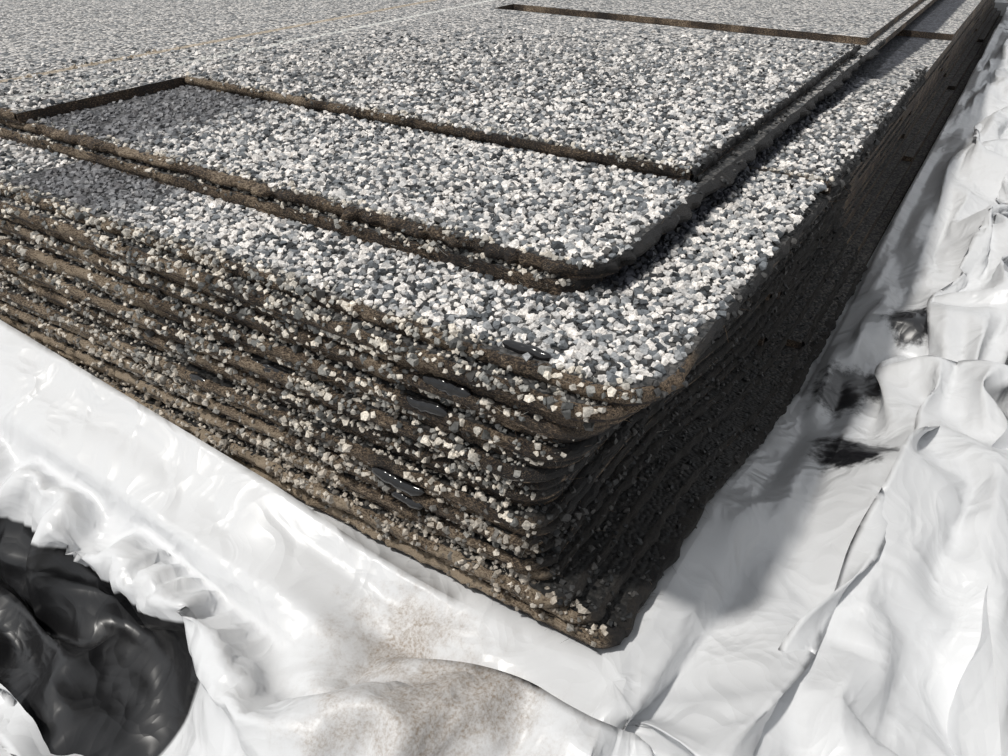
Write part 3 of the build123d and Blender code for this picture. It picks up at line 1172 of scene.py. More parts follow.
felt_finish, tree, shader = material("frayed felt")
place = tree.place()
y, z = tree.axis(place, 1), tree.axis(place, 2)
dust = tree.wobble(place, 60.0, 4.0, 0.35)
dust = tree.math("ADD", dust, tree.span(z, *DUST_TO_FLOOR))
dust = tree.math("ADD", dust, tree.span(y, *DUST_FROM_CORNER))
dust = tree.math("SUBTRACT", dust, tree.span(z, *CLEAN_TOP))
torn = tree.group(felt_edge, {"Dust": dust})
specks = tree.span(tree.noise(place, 5200.0, 3.0, 0.7), 0.56, 0.64)
specks = tree.math("MULTIPLY", specks, tree.span(tree.noise(place, 260.0, 2.0), 0.42, 0.6, 0.1, 0.8))
felted = tree.mix(specks, torn["Color"], LIP_SPECKS)
worn = tree.span(tree.away(place, WORN_AT), *WORN_REACH)
grit = tree.span(tree.noise(place, 3600.0, 4.0, 0.8), 0.40, 0.60)
felted = tree.mix(tree.math("MULTIPLY", worn, grit), felted, WORN_TAN)
# Painted shade: lips that face the right side go nearly black, except on the worn corner
facing = tree.add("ShaderNodeAttribute", attribute_name="side").outputs["Fac"]
painted_side_shade = tree.span(facing, 0.3, 0.9, 0.0, SIDE_SHADE_SHARE)
painted_side_shade = tree.math("MULTIPLY", painted_side_shade, tree.math("SUBTRACT", 1.0, worn))
tree.link(tree.mix(painted_side_shade, felted, SIDE_SHADE_BLACK), shader.inputs["Base Color"])
shader.inputs["Roughness"].default_value = LIP_ROUGHNESS
fuzz = tree.math("ADD", torn["Height"], tree.noise(place, 3200.0, 3.0, 0.75))
tree.link(tree.bump(fuzz, 1.0, FUZZ_BUMP), shader.inputs["Normal"])
print("worn corner at", [round(x / MM, 1) for x in WORN_AT], "mm")

# %% [markdown]
# ## Making the lips
# The lips are joined in two pieces, one for each half of the stack, so that neither gets too large.
# Each corner of the mesh stores how far the lip faces the right side there, for the finish to read.

# %% Make the lips
HALVES = {"lower_felt_lips": range(1, TOP // 2 + 1), "upper_felt_lips": range(TOP // 2 + 1, TOP + 1)}
for name, numbers in HALVES.items():
    corners, faces, sides, used = [], [], [], 0
    for edge, bulge in zip(edges, reaches):
        if edge.number not in numbers:
            continue
        mine, skin = lip(edge, bulge)
        corners.append(mine)
        faces.append(skin + used)
        sides.append(np.repeat(-edge.ways[:, 1], len(LIP_SECTION)))
        used += len(mine)
    corners, faces = np.concatenate(corners), np.concatenate(faces)
    lips = mesh_piece(name, corners, faces, felt_finish, True)
    values = np.concatenate(sides).astype(np.float32)
    lips.data.attributes.new("side", "FLOAT", "POINT").data.foreach_set("value", values)

# %% [markdown]
# ## Sealant and edge chips
# The asphalt that bonds one shingle's plies was pressed out at the near end in a few places, as glossy
# black beads. Granules cling to the top arris of every cut edge, and some have dropped onto the ledges
# below. Rows of chips follow each outline from just inside the arris to a little below it, in patches
# along the edge. They stay off the beads and thin out with distance.

# %% Where things stick to the edges
# A bead: start and end across the bundle, height, radius and how far it stands out, all in mm
BEADS = (
    (2.3, -5.6, 75.9, 0.95, -2.6),
    (14.0, 5.0, 67.8, 1.15, 0.9),
    (17.5, 9.4, 62.9, 1.0, 0.8),
    (26.5, 15.0, 44.5, 1.2, 0.9),
    (22.5, 15.5, 41.2, 0.95, 0.8),
    (52.0, 43.0, 57.4, 0.95, 0.8),
    (75.0, 62.0, 47.3, 1.0, 0.8),
)
# A row: outwards in shares of the lip or inwards in mm, upwards in mm, chance, size in mm
END_ROWS = (
    (0.35, 0.0, 0.7, 1.15),
    (0.85, -0.35, 0.85, 1.2),
    (1.0, -0.85, 0.7, 1.1),
    (-0.8, 0.1, 0.7, 1.0),
    (-1.5, 0.1, 0.7, 0.95),
    (-2.2, 0.1, 0.7, 1.0),
)
TOP_ROWS = (
    (0.3, 0.0, 0.45, 1.0),
    (0.75, -0.1, 0.25, 0.9),
    (0.95, -0.6, 0.15, 0.9),
    (-0.7, 0.1, 0.6, 1.0),
    (-1.4, 0.1, 0.6, 1.1),
    (-2.1, 0.1, 0.6, 1.1),
)
CHIPS_APART = 0.95 * MM
print("beads:", len(BEADS), "rows of chips:", len(END_ROWS))

# %% [markdown]
# ## Chips on the arris
# A chance for each station decides whether a chip lies there. Then the chips are sorted: the end face
# and the right side take different finishes, and the end face is cut in two pieces by height.

# %% Chips along the edges
# All chips stay near the corner, and this share of them from this far away on
EDGE_CHIP_REACH = 240 * MM
FEWEST_CHIPS = 0.3
SIDE_CHIPS_KEPT = 0.4
FACES_SIDE = -0.7
BEAD_ROOM = 0.5
EDGE_CHIP_TILT = 1.0
# How far a chip strays from its row, outwards, and upwards in mm
STRAY_OUT = 0.18 * MM
STRAY_UP = 0.22


def edge_chips(edge, bulge):
    """Centres, sizes and outward y of the chips along one edge."""
    centres, sizes, facing = [], [], []
    count = len(edge.places)
    patches = np.clip(0.66 + 0.6 * waves(count, 9) + 0.25 * waves(count, 3), 0.06, 1.2)
    plain = edge.number >= TOP - 1 or edge.number <= 2
    for out, raised, chance, size in TOP_ROWS if plain else END_ROWS:
        mine = rng.random(count) < chance * STEP / CHIPS_APART * (patches if out > 0 else 1)
        spot, way = edge.places[mine], edge.ways[mine]
        reach = out * LIP_OUT * bulge[mine] if out > 0 else np.full(len(spot), out * MM)
        reach = reach + STRAY_OUT * rng.normal(size=len(spot))
        height = edge.curve(spot[:, 0])[1] + (raised + STRAY_UP * rng.normal(size=len(spot))) * MM
        centres.append(np.column_stack([spot + way * reach[:, None], height]))
        sizes.append(sizes_of(len(spot), size * MM))
        facing.append(way[:, 1])
    return np.concatenate(centres), np.concatenate(sizes), np.concatenate(facing)


near_chips = [edge_chips(edge, bulge) for edge, bulge in zip(edges, reaches)]
centres, sizes, facing = (np.concatenate(column) for column in zip(*near_chips))
free_of_beads = np.ones(len(centres), bool)
for start, stop, z, radius, _ in BEADS:
    beside = centres[:, 1] > top_low.y + (stop - BEAD_ROOM) * MM
    beside &= centres[:, 1] < top_low.y + (start + BEAD_ROOM) * MM
    beside &= np.abs(centres[:, 2] - z * MM) < (radius + BEAD_ROOM) * MM
    free_of_beads &= ~(beside & (facing > FACES_SIDE))
centres, sizes, facing = centres[free_of_beads], sizes[free_of_beads], facing[free_of_beads]
to_side, low_down = facing < FACES_SIDE, centres[:, 2] < CORNER.z / 2
away = np.hypot(centres[:, 0] - CORNER.x, centres[:, 1] - CORNER.y)
shown = rng.random(len(centres)) < np.clip(1 + FEWEST_CHIPS - away / EDGE_CHIP_REACH, FEWEST_CHIPS, 1)
kept_on_side = rng.random(len(centres)) < SIDE_CHIPS_KEPT
for name, chosen, finish in (
    ("lower_end_chips", shown & ~to_side & low_down, end_chips),
    ("upper_end_chips", shown & ~to_side & ~low_down, end_chips),
    ("painted_shade_butt_chips", shown & to_side & kept_on_side, painted_shade_butt_chips),
):
    chip_mesh(name, centres[chosen], sizes[chosen], EDGE_CHIP_TILT, finish)

# %% [markdown]
# ## Beads of sealant
# A bead is a sausage of rings along the edge, thin at both ends and flattened against the wall. It is
# nearly black and smooth, so it mirrors the sky as fresh asphalt does.

# %% Sealant beads
BEAD_RINGS = 26
BEAD_SIDES = 12
BEAD_FLAT = 0.75
BEAD_OUT = 0.45
SEALANT_BLACK = (0.010, 0.010, 0.011, 1.0)
SEALANT_ROUGHNESS = 0.16

along = np.linspace(0, 1, BEAD_RINGS)
around = np.linspace(0, 2 * np.pi, BEAD_SIDES, endpoint=False)
rings, faces = [], []
for index, (start, stop, height, radius, stand_out) in enumerate(BEADS):
    y = top_low.y + (start + (stop - start) * along) * MM
    swell = np.sqrt(np.clip(1 - (2 * along - 1) ** 4, 0.0004, 1)) * (1 + 0.1 * waves(BEAD_RINGS, 2.2))
    droop = 0.2 * MM * waves(BEAD_RINGS, 8.0)
    x = CORNER.x - (stand_out + BEAD_OUT) * MM - BEAD_FLAT * radius * MM * swell[:, None] * np.cos(around)
    z = height * MM + droop[:, None] + radius * MM * swell[:, None] * np.sin(around)
    rings.append(np.stack([x, np.broadcast_to(y[:, None], x.shape), z], -1).reshape(-1, 3))
    faces.append(tube_faces(BEAD_RINGS, BEAD_SIDES) + index * BEAD_RINGS * BEAD_SIDES)
sealant, tree, shader = material("pressed-out sealant")
shader.inputs["Base Color"].default_value = SEALANT_BLACK
shader.inputs["Roughness"].default_value = SEALANT_ROUGHNESS
mesh_piece("sealant_beads", np.concatenate(rings), np.concatenate(faces), sealant, True)

# %% [markdown]
# ## Fibres
# Short glass and felt fibres stand out of the torn edges. Each is a thin tube with three sides that
# tapers and bends. They start at random places on the walls near the corner, most lie along the edge,
# and none reaches below the floor.

# %% Roots of the fibres
FIBRES = 3600
FIBRE_ZONE = 130 * MM
ALONG_EDGE = 1.6
OUTWARDS = (0.3, 1.0)
UPWARDS = 0.35
# Lengths in mm: shape and scale of a gamma spread, and its limits
FIBRE_LENGTHS = (2.0, 0.6)
FIBRE_LIMITS = (0.2, 3.0)
# In shares of the sheet's thickness, from its underside
ROOT_HEIGHTS = (0.15, 0.9)

bases, outwards = [], []
for edge in edges:
    near = np.hypot(edge.places[:, 0] - CORNER.x, edge.places[:, 1] - CORNER.y) < FIBRE_ZONE
    places, ways = edge.places[near], edge.ways[near]
    low, high = edge.curve(places[:, 0])
    height = low + (high - low) * rng.uniform(*ROOT_HEIGHTS, len(places))
    bases.append(np.column_stack([places, height]))
    outwards.append(np.column_stack([ways, np.zeros(len(ways))]))
bases, outwards = np.concatenate(bases), np.concatenate(outwards)
pick = rng.integers(0, len(bases), FIBRES)
base, out = bases[pick], outwards[pick]
edgewise = np.stack([-out[:, 1], out[:, 0], np.zeros(FIBRES)], 1) * rng.normal(0, ALONG_EDGE, (FIBRES, 1))
way = out * rng.uniform(*OUTWARDS, (FIBRES, 1)) + edgewise
way = way + np.array([0, 0, 1]) * rng.normal(0, UPWARDS, (FIBRES, 1))
way /= np.linalg.norm(way, axis=1, keepdims=True)
length = np.clip(rng.gamma(*FIBRE_LENGTHS, FIBRES), *FIBRE_LIMITS)[:, None] * MM
print("fibres:", FIBRES, "mean length in mm:", round(float(length.mean()) / MM, 2))

# %% [markdown]
# ## Tubes for the fibres
# Blender's hair curves would draw the fibres too, but this part is passed on as meshes. So all of them
# are made at once as arrays: four points along each fibre and three corners round each point.

# %% Fibre tubes
FIBRE_POINTS = 4
FIBRE_SIDES = 3
FIBRE_RADIUS = 0.035 * MM
FIBRE_TAPER = 0.7
FIBRE_BEND = 0.45
LOWEST_FIBRE = 0.2 * MM
FIBRE_ROUGHNESS = 0.6
FIBRE_SHADES = (
    (0.0, (0.02, 0.014, 0.01, 1.0)),
    (0.35, (0.10, 0.065, 0.04, 1.0)),
    (0.65, (0.24, 0.17, 0.11, 1.0)),
    (0.88, (0.7, 0.68, 0.62, 1.0)),
)

bend = rng.normal(0, FIBRE_BEND, (FIBRES, 3))
along = np.linspace(0, 1, FIBRE_POINTS)[None, :, None]
centres = base[:, None] + (way[:, None] * along + bend[:, None] * along**2) * length[:, None]
across = np.cross(way, rng.normal(size=(FIBRES, 3)))
across /= np.linalg.norm(across, axis=1, keepdims=True)
other = np.cross(way, across)
around = np.array([0, 2 * np.pi / 3, 4 * np.pi / 3])
ring = across[:, None] * np.cos(around)[None, :, None] + other[:, None] * np.sin(around)[None, :, None]
thin = FIBRE_RADIUS * (1 - FIBRE_TAPER * along[..., None])
tubes = centres[:, :, None] + ring[:, None] * thin
tubes[..., 2] = np.maximum(tubes[..., 2], LOWEST_FIBRE)
starts = np.arange(FIBRES)[:, None, None] * FIBRE_POINTS * FIBRE_SIDES
faces = (tube_faces(FIBRE_POINTS, FIBRE_SIDES)[None] + starts).reshape(-1, 4)
fibre_finish, tree, shader = material("fibres")
island = tree.add("ShaderNodeNewGeometry").outputs["Random Per Island"]
tree.link(tree.ramp(island, FIBRE_SHADES, "CONSTANT"), shader.inputs["Base Color"])
shader.inputs["Roughness"].default_value = FIBRE_ROUGHNESS
mesh_piece("torn_fibres", tubes.reshape(-1, 3), faces, fibre_finish, True)

# %% [markdown]
# ## The torn wrapper
# The wrapper is one sheet of tough white film. It lies under the stack, comes out all round and is
# pushed down into a crumpled bank. It is worked out as arrays: stations run round the foot of the
# stack, and rows run outwards along the film. The stations are close together near the corner that is
# seen, and fan out round each corner of the foot.

# %% Stations round the stack
FILM_Z = 0.25 * MM
FOOT_CLEAR = 1.0 * MM
FINE, COARSE = 1.5 * MM, 6.0 * MM
FINE_REACH = 210 * MM
FINE_FAN, COARSE_FAN = 105, 26


def side(start, end, fine_at_start, fine_at_end):
    """Places along one side of the foot, close together near a corner that is fine."""
    start, end = np.array(start, float), np.array(end, float)
    length = np.linalg.norm(end - start)
    along = [0.0]
    while along[-1] < length:
        near_start = fine_at_start and along[-1] < FINE_REACH
        near_stop = fine_at_end and length - along[-1] < FINE_REACH
        along.append(along[-1] + (FINE if near_start or near_stop else COARSE))
    return start + (end - start) * (np.array(along[:-1])[:, None] / length)


def fan(corner, start, stations):
    """A corner of the foot, with the outward way turning through a quarter."""
    angle = start + np.linspace(0, np.pi / 2, stations, endpoint=False)
    return np.tile(corner, (stations, 1)), np.stack([np.cos(angle), np.sin(angle)], 1)


stack = [sheet_box(number, "overlay") for number in range(1, SECOND + 1)]
foot_low = np.array([min(low[i] for low, high in stack) for i in range(2)]) - FOOT_CLEAR
foot_high = np.array([max(high[i] for low, high in stack) for i in range(2)]) + FOOT_CLEAR
(x0, y0), (x1, y1) = foot_low, foot_high
near_right, far_right, far_left, near_left = (x0, y0), (x1, y0), (x1, y1), (x0, y1)
feet, ways = [], []
for start, end, way, fan_start, fine in (
    (near_left, near_right, (-1, 0), 1.0, (False, True)),
    (near_right, far_right, (0, -1), 1.5, (True, False)),
    (far_right, far_left, (1, 0), 0.0, (False, False)),
    (far_left, near_left, (0, 1), 0.5, (False, False)),
):
    along_side = side(start, end, *fine)
    round_corner, turning = fan(end, fan_start * np.pi, FINE_FAN if end == near_right else COARSE_FAN)
    feet += [along_side, round_corner]
    ways += [np.tile(way, (len(along_side), 1)), turning]
feet, ways = np.concatenate(feet), np.concatenate(ways).astype(float)
print("stations round the foot:", len(feet))

# %% [markdown]
# ## The profile of the film
# At each station a profile says where the film goes, as a list of points along the film. There are
# four zones: along the near end the film comes down in a flap whose torn rim is rolled up, at the
# corner it stands up in a lump, along the right side it makes a low bank, and the rest is bunched
# loosely. The zones blend into each other, and the profiles with them.

# %% Profiles of the four zones
ROWS_OUT = 85
FILM_LENGTH = 122 * MM
# Each profile is a list of (along the film in mm, outwards in mm, share of the height that the film has
# at the stack, upwards in mm), so that a bank follows what it leans on
NEAR_PROFILE = (
    (0, 0, 1.0, 0),
    (6, 4, 0.93, 0),
    (26, 19, 0.60, 2),
    (33, 24, 0.55, 4),
    (40, 28, 0.42, 3),
    (47, 27, 0.2, 2),
    (56, 31, 0, 3),
    (72, 45, 0, 2.5),
    (90, 58, 0, 5),
    (104, 60, 0, 9),
    (122, 51, 0, 10),
)
CORNER_PROFILE = (
    (0, 0, 1.0, 0),
    (8, 7, 0.86, 0),
    (17, 15, 0.74, 0),
    (27, 22, 0.80, 5),
    (42, 33, 0.80, 8),
    (56, 45, 0.60, 6),
    (68, 52, 0.30, 4),
    (80, 57, 0.1, 1),
    (92, 61, 0, 3),
    (104, 62, 0, 8),
    (122, 53, 0, 12),
)
SIDE_PROFILE = (
    (0, 0, 1.0, 0),
    (10, 8, 0.85, 2),
    (26, 20, 0.5, 8),
    (45, 32, 0.2, 13),
    (62, 42, 0, 15),
    (76, 49, 0, 11),
    (90, 53, 0, 6),
    (104, 54, 0, 7),
    (122, 48, 0, 13),
)
REST_PROFILE = (
    (0, 0, 1.0, 0),
    (12, 9, 0.9, 1),
    (30, 20, 0.7, 3),
    (50, 33, 0.5, 4),
    (68, 44, 0.2, 5),
    (84, 50, 0, 4),
    (98, 50, 0, 1.5),
    (110, 44, 0, 1),
    (122, 36, 0, 1),
)
rows = np.linspace(0, FILM_LENGTH, ROWS_OUT)
flat = feet[:, None, :] + ways[:, None, :] * rows[None, :, None]


def profile(knots, height):
    """Outward and upward place of each row at each station."""
    along, out, share, up = np.array(knots, float).T
    out, share, up = (np.interp(rows / MM, along, values) for values in (out, share, up))
    return np.tile(out * MM, (len(height), 1)), height[:, None] * share + up * MM


print("rows out:", ROWS_OUT, "film past the foot in mm:", round(FILM_LENGTH / MM))

# %% [markdown]
# ## Where each zone lies, and how high
# Each zone is a share between 0 and 1 at every station, and the shares add up to 1. The height is where
# the film leaves the stack: it climbs along the near end, stays under the sheets at the corner, and is
# gathered loosely on the sides that nobody sees. Distances are taken from the near corner of the foot.

# %% Zones and heights
UNDER_STACK = 0.6 * MM
EDGE_INSET = 2 * MM
x, y = feet[:, 0], feet[:, 1]
past_corner = smoothstep(y, y0 + 30 * MM, y0 + 75 * MM)
near_end = smoothstep(x, x0 + 60 * MM, x0 + 5 * MM) * past_corner
at_corner = smoothstep(x, x0 + 30 * MM, x0 + 5 * MM) * (1 - past_corner)
right_side = smoothstep(y, y0 + 12 * MM, y0 + 2 * MM) * smoothstep(x, x0 + 5 * MM, x0 + 30 * MM)
right_side = right_side * smoothstep(x, x0 + 700 * MM, x0 + 450 * MM)
rest = np.clip(1 - near_end - at_corner - right_side, 0, 1)

underside = heights(1, "overlay")(np.clip(x, x0 + EDGE_INSET, x1 - EDGE_INSET))[0]
climb = np.interp(y, [y0 + 20 * MM, y0 + 165 * MM, y0 + 250 * MM, y1], [0, 15 * MM, 17 * MM, 6 * MM])
bank = 9 * MM * smoothstep(x, x0 + 180 * MM, x0 + 330 * MM)
bunched = 15 * MM + 4 * MM * smooth_field(feet / (45 * MM), 5)
height = near_end * (underside + climb) + at_corner * (underside - UNDER_STACK)
height = height + right_side * np.maximum(underside - UNDER_STACK, bank)
height = np.maximum(height + rest * bunched, FILM_Z)
print("the film leaves the stack at up to", round(height.max() / MM, 1), "mm")

# %% [markdown]
# ## A profile at every station
# The profiles of the four zones are mixed by their shares. A profile of straight pieces would leave
# folds that run all round, so the rows are then evened out with a short running mean.

# %% Smooth profile at every station
SMOOTHING = np.array([1, 3, 5, 6, 5, 3, 1]) / 24
ZONE_PROFILES = (
    (near_end, NEAR_PROFILE),
    (at_corner, CORNER_PROFILE),
    (right_side, SIDE_PROFILE),
    (rest, REST_PROFILE),
)
out, up = np.zeros(flat.shape[:2]), np.zeros(flat.shape[:2])
for share, knots in ZONE_PROFILES:
    zone_out, zone_up = profile(knots, height)
    out += share[:, None] * zone_out
    up += share[:, None] * zone_up
for values in (out, up):
    ends = [np.repeat(values[:, :1], 3, 1), values, np.repeat(values[:, -1:], 3, 1)]
    padded = np.concatenate(ends, 1)
    smoothed = sum(weight * padded[:, i : i + ROWS_OUT] for i, weight in enumerate(SMOOTHING))
    values[:, 2:] = smoothed[:, 2:]
print("the profiles reach out to", round(out.max() / MM, 1), "mm and up to", round(up.max() / MM, 1), "mm")

# %% [markdown]
# ## Creases
# Crumpled film is made of flat facets that meet in sharp folds. A field of random heights on a slanted
# lattice, joined by flat triangles, gives such facets. Its rows are bent by a smooth field, so that they
# don't show. Two of the fields are measured round the stack instead of across the floor, so that their
# folds run outwards everywhere.

# %% Crease fields
SLANT = 0.366
WARP = 0.35
FAN_ARM = 40 * MM
OUTWARD_STRETCH = 3.2


def creases(places, size, seed, turn):
    """Random heights joined by flat triangles: facets with sharp creases between them."""
    cos, sin = math.cos(turn), math.sin(turn)
    turned = places @ np.array([[cos, -sin], [sin, cos]]) / size
    bent = [smooth_field(turned, seed + 1), smooth_field(turned, seed + 2)]
    turned = turned + WARP * np.stack(bent, -1)
    slanted = turned + turned.sum(-1, keepdims=True) * SLANT
    cell = np.floor(slanted).astype(int)
    share = slanted - cell
    x, y = share[..., 0], share[..., 1]
    low, right, left, high = corner_values(seed, cell)
    first = low + x * (right - low) + y * (high - right)
    second = low + y * (left - low) + x * (high - left)
    return np.where(x > y, first, second)


angles = np.unwrap(np.arctan2(ways[:, 1], ways[:, 0]))
steps = np.linalg.norm(np.diff(feet, axis=0), axis=1) + np.abs(np.diff(angles)) * FAN_ARM
around = np.concatenate([[0], np.cumsum(steps)])[:, None]
rows_out = rows[None, :]
spread_out = np.stack(np.broadcast_arrays(around, rows_out / OUTWARD_STRETCH), -1)
fields = (
    0.6 * creases(flat, 36 * MM, 41, 0.3) + 0.5 * creases(flat, 29 * MM, 31, 0.9),
    creases(flat, 13 * MM, 51, 1.1),
    creases(flat, 6 * MM, 61, 0.7),
    creases(flat, 3 * MM, 71, 0.2),
    creases(spread_out, 26 * MM, 141, 0.15),
    creases(spread_out, 9 * MM, 151, 0.2),
)
print("crease fields:", len(fields), "once round the film in mm:", round(around[-1, 0] / MM))

# %% [markdown]
# ## Crumple the film
# The crease fields push every place of the film: along the film's own normal, outwards and sideways.
# The push starts from nothing beside the stack, where the film is held. A last step keeps the film
# clear of the stack and softly off the floor, so that low places rest on it without a hard fold.

# %% Crumple the film
# For each zone: the strength in mm of facets of 36, 13, 6 and 3 mm, and of folds that run outwards
# every 26 and every 9 mm. The near flap has a flat band beside the stack and a rolled rim
ZONES = (
    (near_end, (2.6, 2.0, 0.8, 0.2, 1.2, 0.3)),
    (at_corner, (7.0, 4.4, 1.0, 0.15, 1.4, 0.1)),
    (right_side, (4.6, 2.2, 0.5, 0.1, 6.0, 0.3)),
    (rest, (3.0, 1.5, 0.4, 0.0, 2.4, 0.0)),
)
RIM = (0.8, 1.2, 1.2, 0.4, 1.6, 3.2)
BAND = (0.5, 0.25, 0.05, 0.04, 0.3, 0.15)
LEAST_OUT = 0.8 * MM
SOFT_FLOOR = 0.6 * MM

strengths = sum(zone[:, None] * np.array(values) for zone, values in ZONES)
free = smoothstep(rows_out, 2 * MM, 22 * MM)
band = near_end[:, None] * smoothstep(rows_out, 29 * MM, 22 * MM)
rim = near_end[:, None] * smoothstep(rows_out, 22 * MM, 29 * MM) * smoothstep(rows_out, 54 * MM, 42 * MM)


def strength(number):
    """How strong one crease field is at each place of the film, in mm."""
    plain = strengths[:, number][:, None] * (1 - band - rim)
    return free * (plain + rim * RIM[number] + band * BAND[number])


push = sum(strength(number) * fields[number] for number in (0, 1, 4, 5))
outwards = strength(0) * 0.8 * creases(flat, 26 * MM, 101, 0.2)
outwards = outwards + strength(1) * 0.8 * creases(flat, 12 * MM, 111, 0.9)
sideways = strength(0) * 0.9 * creases(flat, 24 * MM, 121, 0.6)
sideways = sideways + strength(5) * 0.8 * creases(spread_out, 10 * MM, 131, 0.3)
slope_out, slope_up = np.gradient(out, axis=1), np.gradient(up, axis=1)
slope = np.hypot(slope_out, slope_up) + 1e-9
out = out + (-slope_up / slope * push + outwards) * MM
up = up + (slope_out / slope * push) * MM
out = np.maximum(out, smoothstep(rows_out, 0, 8 * MM) * LEAST_OUT)
lift = up - FILM_Z - SOFT_FLOOR
up = FILM_Z + SOFT_FLOOR * np.exp(np.minimum(lift, 0) / (2 * SOFT_FLOOR)) + np.maximum(lift, 0)
side_ways = np.stack([-ways[:, 1], ways[:, 0]], -1)
across_floor = feet[:, None, :] + ways[:, None, :] * out[..., None]
across_floor = across_floor + side_ways[:, None, :] * (sideways * MM)[..., None]
film_places = np.concatenate([across_floor, up[..., None]], -1)
held_row = film_places[:, :1].copy()
print("places of the film:", film_places.shape[0] * film_places.shape[1])

# %% [markdown]
# ## Let the film find its own folds
# The shape so far stretches and squeezes the film, which real film doesn't do: it buckles. So every
# edge of the grid, and both diagonals of every cell, are pulled back towards their lengths on the flat
# sheet, over and over, while the film is kept off the floor and off the stack. What was squeezed has to
# fold, and the folds come out straight and sharp, as in crumpled film. A slack of a few per cent along
# the bag's girth stands for a bag that is wider than its bundle.

# %% Relax a grid
STIFFNESS = 0.9
DIAGONAL_SLACK = 0.6
PAST_SOLIDS = 4 * MM
WALLS = np.array([x0, x1, y0, y1])
ROOM = np.array(cad_low)[:2] - PAST_SOLIDS, np.array(cad_high)[:2] + PAST_SOLIDS


def link_sets(flat, slack, step_s, step_t):
    """Links from each place to the one so many stations and rows on, in sets that share no place."""
    count, depth = flat.shape[:2]
    number_of = np.arange(count * depth).reshape(count, depth)
    first = slice(max(-step_t, 0), depth - max(step_t, 0))
    second = slice(max(step_t, 0), depth - max(-step_t, 0))
    length = np.linalg.norm(np.roll(flat, -step_s, 0)[:, second] - flat[:, first], axis=-1)
    if step_s:
        length = length * (1 + (slack[:, first] - 1) * (DIAGONAL_SLACK if step_t else 1.0))
    a, b = number_of[:, first], np.roll(number_of, -step_s, 0)[:, second]
    sets = []
    for start in range(2):
        if step_s:
            pick = (np.arange(start, count - count % 2, 2),)
        else:
            pick = (slice(None), np.arange(start, a.shape[1], 2))
        sets.append((a[pick].ravel(), b[pick].ravel(), length[pick].reshape(-1, 1)))
    return sets


def relax(places, flat, slack, rounds, smoothing, held):
    """Pulls a grid of places back to the lengths it has on the flat sheet. The first rows are held."""
    count, depth = places.shape[:2]
    sets = [one for step in ((0, 1), (1, 0), (1, 1), (1, -1)) for one in link_sets(flat, slack, *step)]
    loose = np.ones((count, depth, 1))
    loose[:, :held] = 0
    places = places.reshape(-1, 3).copy()
    for _ in range(rounds):
        for a, b, rest in sets:
            gap = places[b] - places[a]
            length = np.sqrt((gap * gap).sum(1, keepdims=True)) + 1e-9
            pull = 0.5 * STIFFNESS * (1 - rest / length) * gap
            places[a] += pull * loose.reshape(-1, 1)[a]
            places[b] -= pull * loose.reshape(-1, 1)[b]
        grid = places.reshape(count, depth, 3)
        middle = (np.roll(grid, 1, 0) + np.roll(grid, -1, 0))[:, 1:-1] + grid[:, :-2] + grid[:, 2:]
        grid[:, 1:-1] += smoothing * (middle / 4 - grid[:, 1:-1]) * loose[:, 1:-1]
        places[:, 2] = np.maximum(places[:, 2], FILM_Z)
        depths = np.stack([places[:, 0] - x0, x1 - places[:, 0], places[:, 1] - y0, y1 - places[:, 1]], 1)
        inside = np.flatnonzero((depths.min(1) > 0) & (loose.ravel() > 0))
        nearest = depths[inside].argmin(1)
        places[inside, nearest // 2] = WALLS[nearest]
        places[:, :2] = np.clip(places[:, :2], *ROOM)
    return places.reshape(count, depth, 3)


links = sum(len(a) for a, _, _ in link_sets(flat, np.ones(flat.shape[:2]), 1, 0))
print("links round the stack:", links)

# %% [markdown]
# ## Large folds first, then small ones
# Pulls travel slowly through a fine grid. So the film first finds its large folds on a grid with cells
# of about 6 mm. These are then spread over the fine grid, get the small creases on top, and relax again.
# The rolled rim of the near flap gets more slack in the second pass, so that it ruffles.

# %% Relax the film
COARSE_CELL = 6 * MM
ROWS_A_CELL = 4
COARSE_ROUNDS = 160
FINE_ROUNDS = 110
GIRTH_SLACK = 0.09
RIM_SLACK = 0.2
LUMP_SLACK = 0.12
COARSE_SMOOTHING = 0.012
FINE_SMOOTHING = 0.02

girth = smoothstep(rows_out, 12 * MM, 50 * MM) * (1 - 0.9 * band) * (1 - 0.4 * at_corner[:, None])
slack = 1 + GIRTH_SLACK * girth
lump = at_corner[:, None] * smoothstep(rows_out, 10 * MM, 26 * MM) * smoothstep(rows_out, 95 * MM, 65 * MM)
slack = slack + LUMP_SLACK * lump
round_trip = around[-1, 0] + np.linalg.norm(feet[0] - feet[-1]) + COARSE
picked = np.unique(np.searchsorted(around[:, 0], np.arange(0, around[-1, 0], COARSE_CELL)))
coarse, coarse_flat, coarse_slack = (grid[picked][:, ::ROWS_A_CELL] for grid in (film_places, flat, slack))
coarse = relax(coarse, coarse_flat, coarse_slack, COARSE_ROUNDS, COARSE_SMOOTHING, held=1)

share = np.arange(ROWS_OUT) / ROWS_A_CELL
row = np.minimum(share.astype(int), coarse.shape[1] - 2)
share = (share - row)[None, :, None]
between = coarse[:, row] * (1 - share) + coarse[:, row + 1] * share
columns = between.reshape(len(picked), -1).T
finer = [np.interp(around[:, 0], around[picked, 0], column, period=round_trip) for column in columns]
film_places = np.stack(finer, -1).reshape(len(feet), ROWS_OUT, 3)
ripple = strength(2) * fields[2] + strength(3) * fields[3] + rim * RIM[5] * fields[5]
film_places[..., 2] += free * ripple * MM
film_places[:, :1] = held_row
film_places = relax(film_places, flat, slack + RIM_SLACK * rim, FINE_ROUNDS, FINE_SMOOTHING, held=2)
print("film relaxed, top at", round(film_places[..., 2].max() / MM, 1), "mm")

# %% [markdown]
# ## One sheet of film
# The rows outside the stack are joined to a few rows that run in under it, and one face closes the
# sheet in the middle, where nobody sees it. The place of each corner on the uncrumpled sheet is kept
# as a second set of coordinates, so that dirt and print stay on the film wherever it folds.

